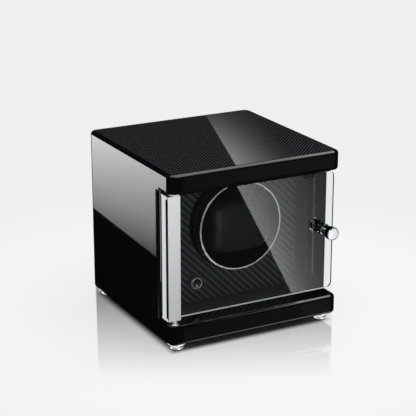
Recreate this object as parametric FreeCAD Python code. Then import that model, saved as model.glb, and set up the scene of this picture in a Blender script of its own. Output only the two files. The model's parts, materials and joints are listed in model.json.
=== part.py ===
"""Single watch winder box: a lacquered case, a hinged clear door and a drum driven through spur gears.

Units are millimetres. Pieces are modelled in the case's frame: X to the right from the middle, Y back from
the front edge of the top panel, Z up from the underside of the case. store() moves them to the part's frame,
whose origin is the middle of the footprint, on the surface that the feet stand on.
"""
import FreeCAD, Part
import math
import os

Vector = FreeCAD.Vector

# Case
CASE_W = 170.0
CASE_D = 169.0
CASE_H = 155.0
PANEL = 18.0
CORNER_R = 7.0
EDGE_R = 3.0
SIDE_SETBACK = 22.0
SHEET_T = 1.0
SHEET_INSET = 3.5
BACK_T = 6.0
BACK_RECESS = 1.0
REBATE = 6.0
BACK_SCREW_Z = (34.0, 121.0)
BACK_SCREW_L = 16.0

# Feet
FOOT_H = 7.5
PAD_T = 1.2
FOOT_TOP_R = 8.5
FOOT_LOW_R = 5.5
FOOT_INSET = 11.0
FOOT_LIP = 1.4
STUD_R = 2.0
STUD_L = 9.0

# Fascia behind the door
FASCIA_Y = 47.0
FASCIA_T = 4.0
CLEAT = 12.0

# Drum and its axis
AXIS_Z = 89.3
DRUM_R = 41.0
DRUM_WALL = 2.2
DRUM_FRONT = 32.4
DRUM_FLOOR = 84.0
DRUM_BACK = 87.0
FASCIA_HOLE_R = 43.0
HUB_R = 10.0
HUB_END = 96.7
SHAFT_R = 3.0
SHAFT_END = 107.0
CLIP_Y = 103.3
CLIP_T = 1.0
CLIP_R = 5.2
NECK_R = 2.3
BEVEL = 1.0
RUNNING_GAP = 0.03
RING_LIP = 30.5
RING_SKIRT = 38.6
RING_PROUD = 1.2
RING_GROOVE = 0.7

# Pillow
PILLOW_W = 60.0
PILLOW_H = 51.0
PILLOW_FRONT = 25.0
PILLOW_BACK = 64.0
PILLOW_CROWN = 1.5
PILLOW_CORNER = 11.0
TONGUE_W = 28.0
TONGUE_H = 16.0
TONGUE_END = 82.0
CORE_W = 40.0
CORE_H = 26.0
CORE_T = 2.5
SOCKET_MOUTH = 67.2
SOCKET_WALL = 2.5
SOCKET_EAR = 6.0
SLIDE_GAP = 0.3

# Gears
MODULE = 1.5
GEAR_TEETH = 42
PINION_TEETH = 17
PRESSURE_ANGLE = math.radians(20.0)
BACKLASH = 0.16
ROOT_DEPTH = 1.25
GEAR_Y = 88.0
GEAR_T = 6.0
PINION_T = 7.0
WEB_IN_R = 13.0
WEB_OUT_R = 27.0
SPACER_R = 16.0

# Drive
PLATE_Y = 98.0
PLATE_T = 3.0
PLATE_W = 100.0
PLATE_LOW = 30.0
PLATE_TOP = 134.0
PLATE_CORNER = 8.0
POST_R = 4.5
SPIGOT_R = 2.5
POST_X = 43.0
POST_RISE = 34.0
BUSH_SLEEVE_R = 5.0
BUSH_COLLAR_R = 7.5
BUSH_COLLAR_T = 1.0
BUSH_TAIL = 2.0
MOTOR_R = 12.0
GEARBOX_R = 12.5
GEARBOX_L = 14.0
MOTOR_L = 22.0
MOTOR_BOSS_R = 4.0
MOTOR_TAIL_L = 2.0
MOTOR_SCREW_X = 8.5
SPINDLE_R = 2.0
SPINDLE_DEPTH = 5.0
SPINDLE_FLAT = 0.5

# Door
DOOR_LEFT = -85.0
DOOR_RIGHT = 81.5
DOOR_LOW = 22.0
DOOR_TOP = 135.5
STILE_W = 12.0
STRIP_Y = 4.0
STRIP_T = 1.2
PANE_T = 3.0
STILE_T = 8.3
PIVOT_PLATE_T = 2.5
PANE_CORNER = 5.0
PIVOT_X = -77.3
PIVOT_Y = 7.5
PIN_R = 1.5
SHOULDER_R = 2.1
FLANGE_R = 4.75
FLANGE_T = 1.0
PIVOT_GAP = 0.05
BUSH_R = 3.0
BUSH_L = 8.5
KNOB_X = 72.5
KNOB_Z = 81.5
KNOB_REACH = 10.5
KNOB_R = 6.15
KNOB_BODY_R = 4.7
KNOB_GROOVES = 4
KNOB_GROOVE_D = 0.7
KNOB_COLLAR_R = 5.3
KNOB_COLLAR_T = 1.4
KNOB_NECK_R = 3.4
KNOB_HEAD_T = 5.9
KNOB_NECK_L = 1.2
KNOB_SCREW_R = 2.0
KNOB_SCREW_L = 7.0
CATCH_X = 56.0
CATCH_W = 12.0
STRIKE_T = 0.8
STRIKE_H = 4.0
STRIKE_DROP = 0.5
CATCH_GAP = 0.3
CATCH_D = 6.5
CATCH_WALL = 2.0
MAGNET_T = 3.0

# Controls
SELECTOR_X = -40.0
SELECTOR_Z = 38.5
SELECTOR_R = 6.0
SELECTOR_L = 8.5
SELECTOR_SKIN = 2.0
SELECTOR_WALL = 0.7
SELECTOR_BEVEL = 0.9
POINTER_W = 1.0
POINTER_DEPTH = 0.5
SWITCH_W = 18.0
SWITCH_L = 10.0
SWITCH_BUSH_R = 3.5
SWITCH_BUSH_L = 2.5
SWITCH_NUT_R = 5.0
SWITCH_NUT_T = 1.5
BOARD_W = 60.0
BOARD_H = 26.0
BOARD_T = 1.6
JACK_X = 50.0
JACK_Z = 36.0
JACK_R = 4.0
JACK_RIM_R = 5.5
JACK_BORE_R = 3.0
JACK_BORE_L = 10.0
JACK_PIN_R = 1.0
JACK_TAIL = 12.0
JACK_NUT_R = 6.2
JACK_NUT_T = 3.0
PLUG_W = 8.0
PLUG_H = 6.0
PLUG_L = 6.0
PLUG_INSET = 8.0
LEAD_R = 1.5
LEAD_SIDES = 6
BEND_SHARE = 0.45

# Derived places
HALF_W = CASE_W / 2
INNER_X = HALF_W - PANEL
INNER_TOP = CASE_H - PANEL
BACK_Y = CASE_D - BACK_RECESS - BACK_T
PANE_Y = STRIP_Y + STRIP_T
STILE_Y = PANE_Y + PANE_T
PINION_Z = AXIS_Z - MODULE * (GEAR_TEETH + PINION_TEETH) / 2
BOARD_Y = FASCIA_Y + FASCIA_T + SWITCH_L
BOARD_X = SELECTOR_X - SWITCH_W / 2 - 4.0
BOARD_Z = PANEL + 3.0
MOTOR_END = PLATE_Y + PLATE_T + GEARBOX_L + MOTOR_L
MID_Y = (CASE_D - KNOB_REACH) / 2
TO_PART = Vector(0, -MID_Y, FOOT_H)
TINY = 1e-4


def store(name, *pieces):
    """Writes one node, moved from the case's frame to the part's frame."""
    shape = pieces[0].copy() if len(pieces) == 1 else Part.makeCompound(list(pieces))
    shape.translate(TO_PART)
    shape.exportStep(f"parts/{name}.step")


def block(x, y, z):
    """Box between the low and high values of each axis."""
    return Part.makeBox(x[1] - x[0], y[1] - y[0], z[1] - z[0], Vector(x[0], y[0], z[0]))


def rod(radius, start, end):
    """Cylinder from one point to another."""
    run = Vector(*end) - Vector(*start)
    return Part.makeCylinder(radius, run.Length, Vector(*start), run)


def along(edge, axis):
    """True for a straight edge that runs along axis 0, 1 or 2."""
    box = edge.BoundBox
    spans = (box.XLength, box.YLength, box.ZLength)
    return all(span < TINY for number, span in enumerate(spans) if number != axis)


def rounded(shape, radius, chosen):
    """Rounds the edges that the test picks."""
    return shape.makeFillet(radius, [edge for edge in shape.Edges if chosen(edge)])


def rounded_block(x, y, z, radius, axis):
    """Box whose four edges along one axis are rounded."""
    return rounded(block(x, y, z), radius, lambda edge: along(edge, axis))


def joined(first, *others):
    """One solid from pieces that touch or overlap."""
    return first.fuse(list(others)).removeSplitter().Solids[0]


def outline(place, start, steps):
    """Closed wire: a step of two numbers is a line, one of four an arc through a point to its end."""
    edges = []
    here = start
    for step in [*steps, start]:
        end = step[-2:]
        if len(step) == 4:
            edges.append(Part.Arc(place(*here), place(*step[:2]), place(*end)).toShape())
        elif math.dist(here, end) > TINY:
            edges.append(Part.LineSegment(place(*here), place(*end)).toShape())
        here = end
    return Part.Wire(edges)


def turned_y(x, z, start, *steps):
    """Solid of revolution about the line along Y through x, z: the numbers are radius and depth."""
    wire = outline(lambda radius, depth: Vector(x + radius, depth, z), start, steps)
    return Part.Face(wire).revolve(Vector(x, 0, z), Vector(0, 1, 0), 360)


def turned_z(x, y, start, *steps):
    """Solid of revolution about the line along Z through x, y: the numbers are radius and height."""
    wire = outline(lambda radius, height: Vector(x + radius, y, height), start, steps)
    return Part.Face(wire).revolve(Vector(x, y, 0), Vector(0, 0, 1), 360)


def case_slab(low, high):
    """Full-size panel with rounded upright corners."""
    return rounded_block((-HALF_W, HALF_W), (0, CASE_D), (low, high), CORNER_R, 2)


def round_nose(slab, height):
    """Rounds a slab's edges at one height, only where it stands in front of the side panels."""
    reach = block((-CASE_W, CASE_W), (-CASE_D, SIDE_SETBACK), (-CASE_H, 2 * CASE_H))

    def on_nose(edge):
        box = edge.BoundBox
        return abs(box.ZMin - height) < TINY and box.ZLength < TINY and box.YMin < SIDE_SETBACK - TINY

    nose = rounded(slab.common(reach), EDGE_R, on_nose)
    return joined(nose, slab.cut(reach))


def foot_places():
    """Name and centre of each foot."""
    x = HALF_W - FOOT_INSET
    depths = {"front": FOOT_INSET, "rear": CASE_D - FOOT_INSET}
    sides = {"left": -x, "right": x}
    return {f"{row}_{side}": (sides[side], depths[row]) for row in depths for side in sides}


def screw_y(x, z, head_r, head, shank_r, tip):
    """Pan-head screw along Y: head runs from its top to its seat, and the shank to the tip."""
    top, seat = head
    return turned_y(x, z, (0, top), (head_r, top), (head_r, seat), (shank_r, seat), (shank_r, tip), (0, tip))


def build_case():
    """Top, base, sides, back, inlaid sheet and back screws."""
    top = case_slab(INNER_TOP, CASE_H)
    top = rounded(top, EDGE_R, lambda edge: edge.BoundBox.ZMin > CASE_H - TINY)
    top = round_nose(top, INNER_TOP)
    side = HALF_W - SHEET_INSET
    depth = (SHEET_INSET, CASE_D - SHEET_INSET)
    sheet = rounded_block((-side, side), depth, (CASE_H - SHEET_T, CASE_H), CORNER_R - SHEET_INSET, 2)
    upper_bush = rod(BUSH_R, (PIVOT_X, PIVOT_Y, INNER_TOP), (PIVOT_X, PIVOT_Y, INNER_TOP + BUSH_L))
    store("top_panel", top.cut([sheet, upper_bush]))
    store("carbon_top_sheet", sheet)

    base = case_slab(0, PANEL)
    base = rounded(base, EDGE_R, lambda edge: edge.BoundBox.ZMax < TINY)
    base = round_nose(base, PANEL)
    lower_bush = rod(BUSH_R, (PIVOT_X, PIVOT_Y, PANEL - BUSH_L), (PIVOT_X, PIVOT_Y, PANEL))
    studs = [rod(STUD_R, (x, y, 0), (x, y, STUD_L)) for x, y in foot_places().values()]
    store("base_panel", base.cut([lower_bush, *studs]))

    screw_x = INNER_X + REBATE / 2
    face = BACK_Y + BACK_T
    head = (face + BACK_RECESS, face)
    screws = [
        screw_y(x, z, REBATE / 2, head, REBATE / 4, face - BACK_SCREW_L)
        for x in (-screw_x, screw_x)
        for z in BACK_SCREW_Z
    ]
    for name, sign in (("left", -1), ("right", 1)):
        inner = sign * INNER_X
        outer = sign * HALF_W
        panel = block(sorted((inner, outer)), (SIDE_SETBACK, CASE_D), (PANEL, INNER_TOP))

        def rear_outer(edge):
            box = edge.BoundBox
            return along(edge, 2) and abs(box.XMin - outer) < TINY and box.YMin > CASE_D - TINY

        def front_upright(edge):
            return along(edge, 2) and edge.BoundBox.YMax < SIDE_SETBACK + TINY

        panel = rounded(panel, CORNER_R, rear_outer)
        panel = rounded(panel, EDGE_R, front_upright)
        rebate = block(sorted((inner, inner + sign * REBATE)), (BACK_Y, CASE_D), (PANEL, INNER_TOP))
        store(f"{name}_side_panel", panel.cut([rebate, *screws]))

    jack_hole = rod(JACK_R, (JACK_X, BACK_Y, JACK_Z), (JACK_X, face, JACK_Z))
    span = INNER_X + REBATE
    back = block((-span, span), (BACK_Y, face), (PANEL, INNER_TOP))
    store("back_panel", back.cut([jack_hole, *screws]))
    store("back_panel_screws", *screws)


def build_feet():
    """Turned feet, each with a stud that screws into the base and a soft pad under it."""
    seat = PAD_T - FOOT_H
    pad_r = FOOT_LOW_R - PAD_T / 2
    pads = []
    for name, (x, y) in foot_places().items():
        foot = turned_z(
            x, y, (0, STUD_L), (STUD_R, STUD_L), (STUD_R, 0), (FOOT_TOP_R, 0), (FOOT_TOP_R, -FOOT_LIP),
            (FOOT_LOW_R, seat + FOOT_LIP), (FOOT_LOW_R, seat), (0, seat))
        store(f"foot_{name}", foot)
        pads.append(rod(pad_r, (x, y, -FOOT_H), (x, y, seat)))
    store("foot_pads", *pads)


def build_fascia():
    """Panel behind the door with the drum's opening, and the cleats that it is fixed to."""
    back = FASCIA_Y + FASCIA_T
    panel = block((-INNER_X, INNER_X), (FASCIA_Y, back), (PANEL, INNER_TOP))
    drum_hole = rod(FASCIA_HOLE_R, (0, FASCIA_Y, AXIS_Z), (0, back, AXIS_Z))
    bush_hole = rod(SWITCH_BUSH_R, (SELECTOR_X, FASCIA_Y, SELECTOR_Z), (SELECTOR_X, back, SELECTOR_Z))
    store("carbon_fascia", panel.cut([drum_hole, bush_hole]))
    strips = [
        block(sorted((sign * INNER_X, sign * (INNER_X - CLEAT))), (back, back + CLEAT), (PANEL, INNER_TOP))
        for sign in (-1, 1)
    ]
    store("fascia_cleats", *strips)


def gear_wire(teeth, z, depth, phase):
    """Involute spur gear outline at x = 0: one tooth is centred on the phase angle."""
    pitch_r = MODULE * teeth / 2
    base_r = pitch_r * math.cos(PRESSURE_ANGLE)
    tip_r = pitch_r + MODULE
    root_r = pitch_r - ROOT_DEPTH * MODULE
    flank_r = max(base_r, root_r)
    involute = math.tan(PRESSURE_ANGLE) - PRESSURE_ANGLE
    half_tooth = math.pi / (2 * teeth) - BACKLASH / (4 * pitch_r)
    step = 2 * math.pi / teeth

    def at(radius, angle):
        return Vector(radius * math.cos(angle), depth, z + radius * math.sin(angle))

    def half_angle(radius):
        turn = math.acos(min(1.0, base_r / radius))
        return half_tooth + involute - (math.tan(turn) - turn)

    corners = []
    edges = []
    radii = (flank_r, (flank_r + tip_r) / 2, tip_r)
    for number in range(teeth):
        centre = phase + number * step
        rising = [at(radius, centre - half_angle(radius)) for radius in radii]
        falling = [at(radius, centre + half_angle(radius)) for radius in reversed(radii)]
        foot = at(root_r, centre + half_angle(flank_r))
        next_foot = at(root_r, centre + step - half_angle(flank_r))
        next_flank = at(flank_r, centre + step - half_angle(flank_r))
        edges.append(Part.Arc(*rising).toShape())
        edges.append(Part.Arc(*falling).toShape())
        corners += [(rising[-1], falling[0]), (falling[-1], foot), (foot, next_foot), (next_foot, next_flank)]
    edges += [Part.LineSegment(*ends).toShape() for ends in corners if (ends[0] - ends[1]).Length > TINY]
    return Part.Wire(Part.__sortEdges__(edges))


def gear(teeth, z, thickness, phase):
    """Spur gear whose front is level with the drive gear's."""
    return Part.Face(gear_wire(teeth, z, GEAR_Y, phase)).extrude(Vector(0, thickness, 0))


def build_rotor():
    """Drum, bright ring, shaft, gear, clip and the socket for the pillow."""
    inner_r = DRUM_R - DRUM_WALL
    drum = turned_y(
        0, AXIS_Z, (SHAFT_R, DRUM_FLOOR), (inner_r - BEVEL, DRUM_FLOOR), (inner_r, DRUM_FLOOR - BEVEL),
        (inner_r, DRUM_FRONT), (DRUM_R, DRUM_FRONT), (DRUM_R, DRUM_BACK - BEVEL), (DRUM_R - BEVEL, DRUM_BACK),
        (HUB_R, DRUM_BACK), (HUB_R, HUB_END), (SHAFT_R, HUB_END))
    store("rotor_drum", drum)

    rim_y = RING_LIP + RING_PROUD
    rim_r = DRUM_R + RING_PROUD
    rim_flat = (rim_r - inner_r) / 4
    groove_r = rim_r - RING_GROOVE
    ring = turned_y(
        0, AXIS_Z, (inner_r, DRUM_FRONT), (inner_r, rim_y), (inner_r + rim_flat, RING_LIP),
        (rim_r - rim_flat, RING_LIP), (rim_r, rim_y), (rim_r, rim_y + BEVEL),
        (groove_r, rim_y + BEVEL + RING_GROOVE), (groove_r, RING_SKIRT - BEVEL - RING_GROOVE),
        (rim_r, RING_SKIRT - BEVEL), (rim_r, RING_SKIRT), (DRUM_R, RING_SKIRT), (DRUM_R, DRUM_FRONT))
    store("rotor_ring", ring)

    clip_back = CLIP_Y + CLIP_T
    shaft = turned_y(
        0, AXIS_Z, (0, DRUM_FLOOR), (SHAFT_R, DRUM_FLOOR), (SHAFT_R, CLIP_Y), (NECK_R, CLIP_Y),
        (NECK_R, clip_back), (SHAFT_R, clip_back), (SHAFT_R, SHAFT_END), (0, SHAFT_END))
    store("rotor_shaft", shaft)
    clip = turned_y(0, AXIS_Z, (NECK_R, CLIP_Y), (CLIP_R, CLIP_Y), (CLIP_R, clip_back), (NECK_R, clip_back))
    mouth = block((-NECK_R, NECK_R), (CLIP_Y, clip_back), (AXIS_Z, AXIS_Z + CLIP_R))
    store("retaining_clip", clip.cut(mouth))

    web_y = GEAR_Y + GEAR_T / 2
    gear_back = GEAR_Y + GEAR_T
    web = turned_y(
        0, AXIS_Z, (WEB_IN_R, web_y), (WEB_OUT_R, web_y), (WEB_OUT_R, gear_back), (WEB_IN_R, gear_back))
    spacer = rod(SPACER_R, (0, DRUM_BACK, AXIS_Z), (0, GEAR_Y, AXIS_Z))
    bore = rod(HUB_R, (0, DRUM_BACK, AXIS_Z), (0, HUB_END, AXIS_Z))
    toothed = gear(GEAR_TEETH, AXIS_Z, GEAR_T, -math.pi / 2)
    store("drive_gear", joined(toothed, spacer).cut([web, bore]))

    half_w = TONGUE_W / 2 + SLIDE_GAP
    half_h = TONGUE_H / 2 + SLIDE_GAP
    out_w = half_w + SOCKET_WALL
    out_h = half_h + SOCKET_WALL
    ear_w = out_w + SOCKET_EAR
    rise = (AXIS_Z - out_h, AXIS_Z + out_h)
    sleeve = rounded_block((-out_w, out_w), (SOCKET_MOUTH, DRUM_FLOOR), rise, SOCKET_WALL, 1)
    ears = rounded_block((-ear_w, ear_w), (DRUM_FLOOR - SOCKET_WALL, DRUM_FLOOR), rise, SOCKET_WALL, 1)
    hollow = block((-half_w, half_w), (SOCKET_MOUTH, DRUM_FLOOR), (AXIS_Z - half_h, AXIS_Z + half_h))
    store("pillow_socket", joined(sleeve, ears).cut(hollow))


def pillow_section(x, tall, deep):
    """Closed outline of the pillow across its width: crowned front, top and bottom, flat back."""
    half = tall * PILLOW_H / 2
    crown = tall * PILLOW_CROWN
    corner = tall * PILLOW_CORNER
    bend = corner * (1 - math.sqrt(0.5))
    front = PILLOW_BACK - deep * (PILLOW_BACK - PILLOW_FRONT)
    back = PILLOW_BACK
    middle = (front + back) / 2
    steps = [
        (middle, half + crown, back - corner, half),
        (back - bend, half - bend, back, half - corner),
        (back, corner - half),
        (back - bend, bend - half, back - corner, -half),
        (middle, -half - crown, front + corner, -half),
        (front + bend, bend - half, front, corner - half),
        (front - crown, 0, front, half - corner),
        (front + bend, half - bend, front + corner, half),
    ]
    return outline(lambda depth, rise: Vector(x, depth, AXIS_Z + rise), (front + corner, half), steps)


def build_pillow():
    """Soft pillow and the moulded back whose tongue plugs into the drum's socket."""
    half = PILLOW_W / 2
    left = [(-1.0, 0.66, 0.80), (-0.94, 0.81, 0.91), (-0.80, 0.92, 0.97), (-0.45, 1.0, 1.0)]
    right = [(-share, tall, deep) for share, tall, deep in reversed(left)]
    stations = [*left, (0.0, 1.015, 1.015), *right]
    wires = [pillow_section(half * share, tall, deep) for share, tall, deep in stations]
    store("pillow_cushion", Part.makeLoft(wires, True, True))

    core_back = PILLOW_BACK + CORE_T
    plate_z = (AXIS_Z - CORE_H / 2, AXIS_Z + CORE_H / 2)
    plate = rounded_block((-CORE_W / 2, CORE_W / 2), (PILLOW_BACK, core_back), plate_z, CORE_T, 1)
    tongue_z = (AXIS_Z - TONGUE_H / 2, AXIS_Z + TONGUE_H / 2)
    tongue = block((-TONGUE_W / 2, TONGUE_W / 2), (core_back, TONGUE_END), tongue_z)
    store("pillow_core", joined(plate, tongue))


def build_drive():
    """Plate on posts, bush, gear motor with its screws, and the pinion on its spindle."""
    rear = PLATE_Y + PLATE_T
    bore_r = SHAFT_R + RUNNING_GAP
    collar = PLATE_Y - BUSH_COLLAR_T
    bush = turned_y(
        0, AXIS_Z, (bore_r, collar), (BUSH_COLLAR_R, collar), (BUSH_COLLAR_R, PLATE_Y),
        (BUSH_SLEEVE_R, PLATE_Y), (BUSH_SLEEVE_R, rear + BUSH_TAIL), (bore_r, rear + BUSH_TAIL))
    store("shaft_bush", bush)

    fascia_back = FASCIA_Y + FASCIA_T
    posts = [
        turned_y(x, z, (0, fascia_back), (POST_R, fascia_back), (POST_R, PLATE_Y), (SPIGOT_R, PLATE_Y),
                 (SPIGOT_R, rear), (0, rear))
        for x in (-POST_X, POST_X)
        for z in (AXIS_Z - POST_RISE, AXIS_Z + POST_RISE)
    ]
    store("plate_posts", *posts)

    spindle_end = rear + SPINDLE_DEPTH
    screw_head = (PLATE_Y - SPINDLE_R, PLATE_Y)
    motor_screws = [
        screw_y(x, PINION_Z, SPIGOT_R, screw_head, SPIGOT_R / 2, spindle_end)
        for x in (-MOTOR_SCREW_X, MOTOR_SCREW_X)
    ]
    store("motor_screws", *motor_screws)
    gearbox_end = rear + GEARBOX_L
    bearing_r = SPINDLE_R + RUNNING_GAP
    bearing_end = spindle_end + BEVEL
    boss_front = PLATE_Y + BEVEL
    gearbox = turned_y(
        0, PINION_Z, (bearing_r, boss_front), (MOTOR_BOSS_R, boss_front), (MOTOR_BOSS_R, rear),
        (GEARBOX_R, rear), (GEARBOX_R, gearbox_end), (0, gearbox_end), (0, bearing_end),
        (bearing_r, bearing_end))
    store("motor_gearbox", gearbox.cut(motor_screws))
    tail_end = MOTOR_END + MOTOR_TAIL_L
    can = turned_y(
        0, PINION_Z, (0, gearbox_end), (MOTOR_R, gearbox_end), (MOTOR_R, MOTOR_END - BEVEL),
        (MOTOR_R - BEVEL, MOTOR_END), (MOTOR_BOSS_R, MOTOR_END), (MOTOR_BOSS_R, tail_end), (0, tail_end))
    store("motor_can", can)

    half_w = PLATE_W / 2
    plate = rounded_block((-half_w, half_w), (PLATE_Y, rear), (PLATE_LOW, PLATE_TOP), PLATE_CORNER, 1)
    bush_hole = rod(BUSH_SLEEVE_R, (0, PLATE_Y, AXIS_Z), (0, rear, AXIS_Z))
    boss_hole = rod(MOTOR_BOSS_R + SLIDE_GAP, (0, PLATE_Y, PINION_Z), (0, rear, PINION_Z))
    store("drive_plate", plate.cut([bush_hole, boss_hole, *posts, *motor_screws]))

    spindle = rod(SPINDLE_R, (0, GEAR_Y, PINION_Z), (0, spindle_end, PINION_Z))
    flat_z = (PINION_Z + SPINDLE_R - SPINDLE_FLAT, PINION_Z + SPINDLE_R)
    flat = block((-SPINDLE_R, SPINDLE_R), (GEAR_Y, GEAR_Y + PINION_T), flat_z)
    spindle = spindle.cut(flat)
    store("motor_spindle", spindle)
    pinion = gear(PINION_TEETH, PINION_Z, PINION_T, math.pi / 2 + math.pi / PINION_TEETH)
    store("motor_pinion", pinion.cut(spindle))


def pivot(name, plate, shoulder, panel_face, into_panel):
    """Pivot plate, stepped pin and flanged bush at one end of the door, set along into_panel."""
    inner, outer = plate
    body = block((DOOR_LEFT, DOOR_LEFT + STILE_W), (PANE_Y, STILE_Y + STILE_T), sorted(plate))
    tip = panel_face + into_panel * (BUSH_L - BEVEL)
    pin = turned_z(
        PIVOT_X, PIVOT_Y, (0, inner), (PIN_R, inner), (PIN_R, outer), (SHOULDER_R, outer),
        (SHOULDER_R, shoulder), (PIN_R, shoulder), (PIN_R, tip), (0, tip))
    store(f"{name}_pivot_plate", body.cut(pin))
    store(f"{name}_pivot_pin", pin)
    flange = panel_face - into_panel * FLANGE_T
    end = panel_face + into_panel * BUSH_L
    hole = PIN_R + RUNNING_GAP
    bush = turned_z(
        PIVOT_X, PIVOT_Y, (hole, flange), (FLANGE_R, flange), (FLANGE_R, panel_face), (BUSH_R, panel_face),
        (BUSH_R, end), (hole, end))
    store(f"{name}_pivot_bush", bush)


def build_knob():
    """Turned knob with a grooved body and a broad head, and the screw that holds it through the pane."""
    front = -KNOB_REACH
    head_back = front + KNOB_HEAD_T
    body_front = head_back + KNOB_NECK_L
    collar = PANE_Y - KNOB_COLLAR_T
    pitch = (collar - body_front) / KNOB_GROOVES
    steps = [(KNOB_COLLAR_R, PANE_Y), (KNOB_COLLAR_R, collar), (KNOB_BODY_R, collar)]
    for number in range(KNOB_GROOVES):
        start = collar - number * pitch
        steps.append((KNOB_BODY_R - KNOB_GROOVE_D, start - pitch / 4))
        steps.append((KNOB_BODY_R, start - pitch / 2))
        steps.append((KNOB_BODY_R, start - pitch))
    steps += [
        (KNOB_NECK_R, body_front), (KNOB_NECK_R, head_back), (KNOB_R, head_back), (KNOB_R, front + BEVEL),
        (KNOB_R - BEVEL, front), (0, front),
    ]
    tip = PANE_Y - KNOB_SCREW_L
    knob = turned_y(KNOB_X, KNOB_Z, (KNOB_SCREW_R, PANE_Y), *steps, (0, tip), (KNOB_SCREW_R, tip))
    store("door_knob", knob)
    head = (STILE_Y + KNOB_SCREW_R, STILE_Y)
    store("knob_screw", screw_y(KNOB_X, KNOB_Z, KNOB_NECK_R, head, KNOB_SCREW_R, tip))


def build_door():
    """Clear pane between a bright strip and a stile, with pivots, knob and magnetic catch."""
    stile_x = (DOOR_LEFT, DOOR_LEFT + STILE_W)
    pane_low = DOOR_LOW + PIVOT_PLATE_T
    notch_z = DOOR_TOP - PIVOT_PLATE_T
    pane = block((DOOR_LEFT, DOOR_RIGHT), (PANE_Y, STILE_Y), (pane_low, DOOR_TOP))
    pane = rounded(pane, PANE_CORNER, lambda edge: along(edge, 1) and edge.BoundBox.XMin > DOOR_RIGHT - TINY)
    notch = block(stile_x, (PANE_Y, STILE_Y), (notch_z, DOOR_TOP))
    knob_hole = rod(KNOB_SCREW_R, (KNOB_X, PANE_Y, KNOB_Z), (KNOB_X, STILE_Y, KNOB_Z))
    store("door_pane", pane.cut([notch, knob_hole]))

    strip = rounded_block(stile_x, (STRIP_Y, PANE_Y), (DOOR_LOW, DOOR_TOP), STRIP_T / 3, 2)
    store("hinge_cover_strip", strip)
    pivot("lower", (pane_low, DOOR_LOW), PANEL + FLANGE_T + PIVOT_GAP, PANEL, -1)
    pivot("upper", (notch_z, DOOR_TOP), INNER_TOP - FLANGE_T - 2 * PIVOT_GAP, INNER_TOP, 1)
    stile = block(stile_x, (STILE_Y, STILE_Y + STILE_T), (pane_low, notch_z))
    stile = rounded(stile, BEVEL, lambda edge: along(edge, 2) and edge.BoundBox.YMin > STILE_Y + TINY)
    store("hinge_stile", stile)
    build_knob()

    catch_x = (CATCH_X - CATCH_W / 2, CATCH_X + CATCH_W / 2)
    strike_low = DOOR_TOP - STRIKE_H - STRIKE_DROP
    strike_z = (strike_low, strike_low + STRIKE_H)
    strike_back = STILE_Y + STRIKE_T
    store("strike_plate", rounded_block(catch_x, (STILE_Y, strike_back), strike_z, STRIKE_T, 1))
    catch_y = strike_back + CATCH_GAP
    magnet_x = (catch_x[0] + CATCH_WALL, catch_x[1] - CATCH_WALL)
    magnet = block(magnet_x, (catch_y, catch_y + MAGNET_T), strike_z)
    housing = rounded_block(catch_x, (catch_y, catch_y + CATCH_D), (strike_low - BEVEL, INNER_TOP), BEVEL, 2)
    store("catch_housing", housing.cut(magnet))
    store("catch_magnet", magnet)


def lead_path(points):
    """Wire of straight runs joined by tangent arcs, each as large as its two runs allow."""
    places = [Vector(*point) for point in points]
    edges = []
    here = places[0]
    radii = []
    for before, corner, after in zip(places, places[1:], places[2:]):
        back = (before - corner).normalize()
        ahead = (after - corner).normalize()
        half_turn = (math.pi - back.getAngle(ahead)) / 2
        trim = BEND_SHARE * min((before - corner).Length, (after - corner).Length)
        radius = trim / math.tan(half_turn)
        start = corner + back * trim
        end = corner + ahead * trim
        inward = (back + ahead).normalize()
        middle = corner + inward * (radius / math.cos(half_turn) - radius)
        edges.append(Part.LineSegment(here, start).toShape())
        edges.append(Part.Arc(start, middle, end).toShape())
        radii.append(round(radius, 1))
        here = end
    edges.append(Part.LineSegment(here, places[-1]).toShape())
    return Part.Wire(edges), radii


def lead(name, points):
    """Lead of few sides that leaves its first point along Y: prints its volume over section times length."""
    path, radii = lead_path(points)
    x, y, z = points[0]
    turns = [2 * math.pi * number / LEAD_SIDES for number in range(LEAD_SIDES + 1)]
    section = Part.makePolygon([Vector(x + LEAD_R * math.cos(t), y, z + LEAD_R * math.sin(t)) for t in turns])
    tube = path.makePipeShell([section], True, False)
    share = tube.Volume / (Part.Face(section).Area * path.Length)
    print(name, "length", round(path.Length, 1), "radii", radii, "volume share", round(share, 4))
    store(name, tube)


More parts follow.
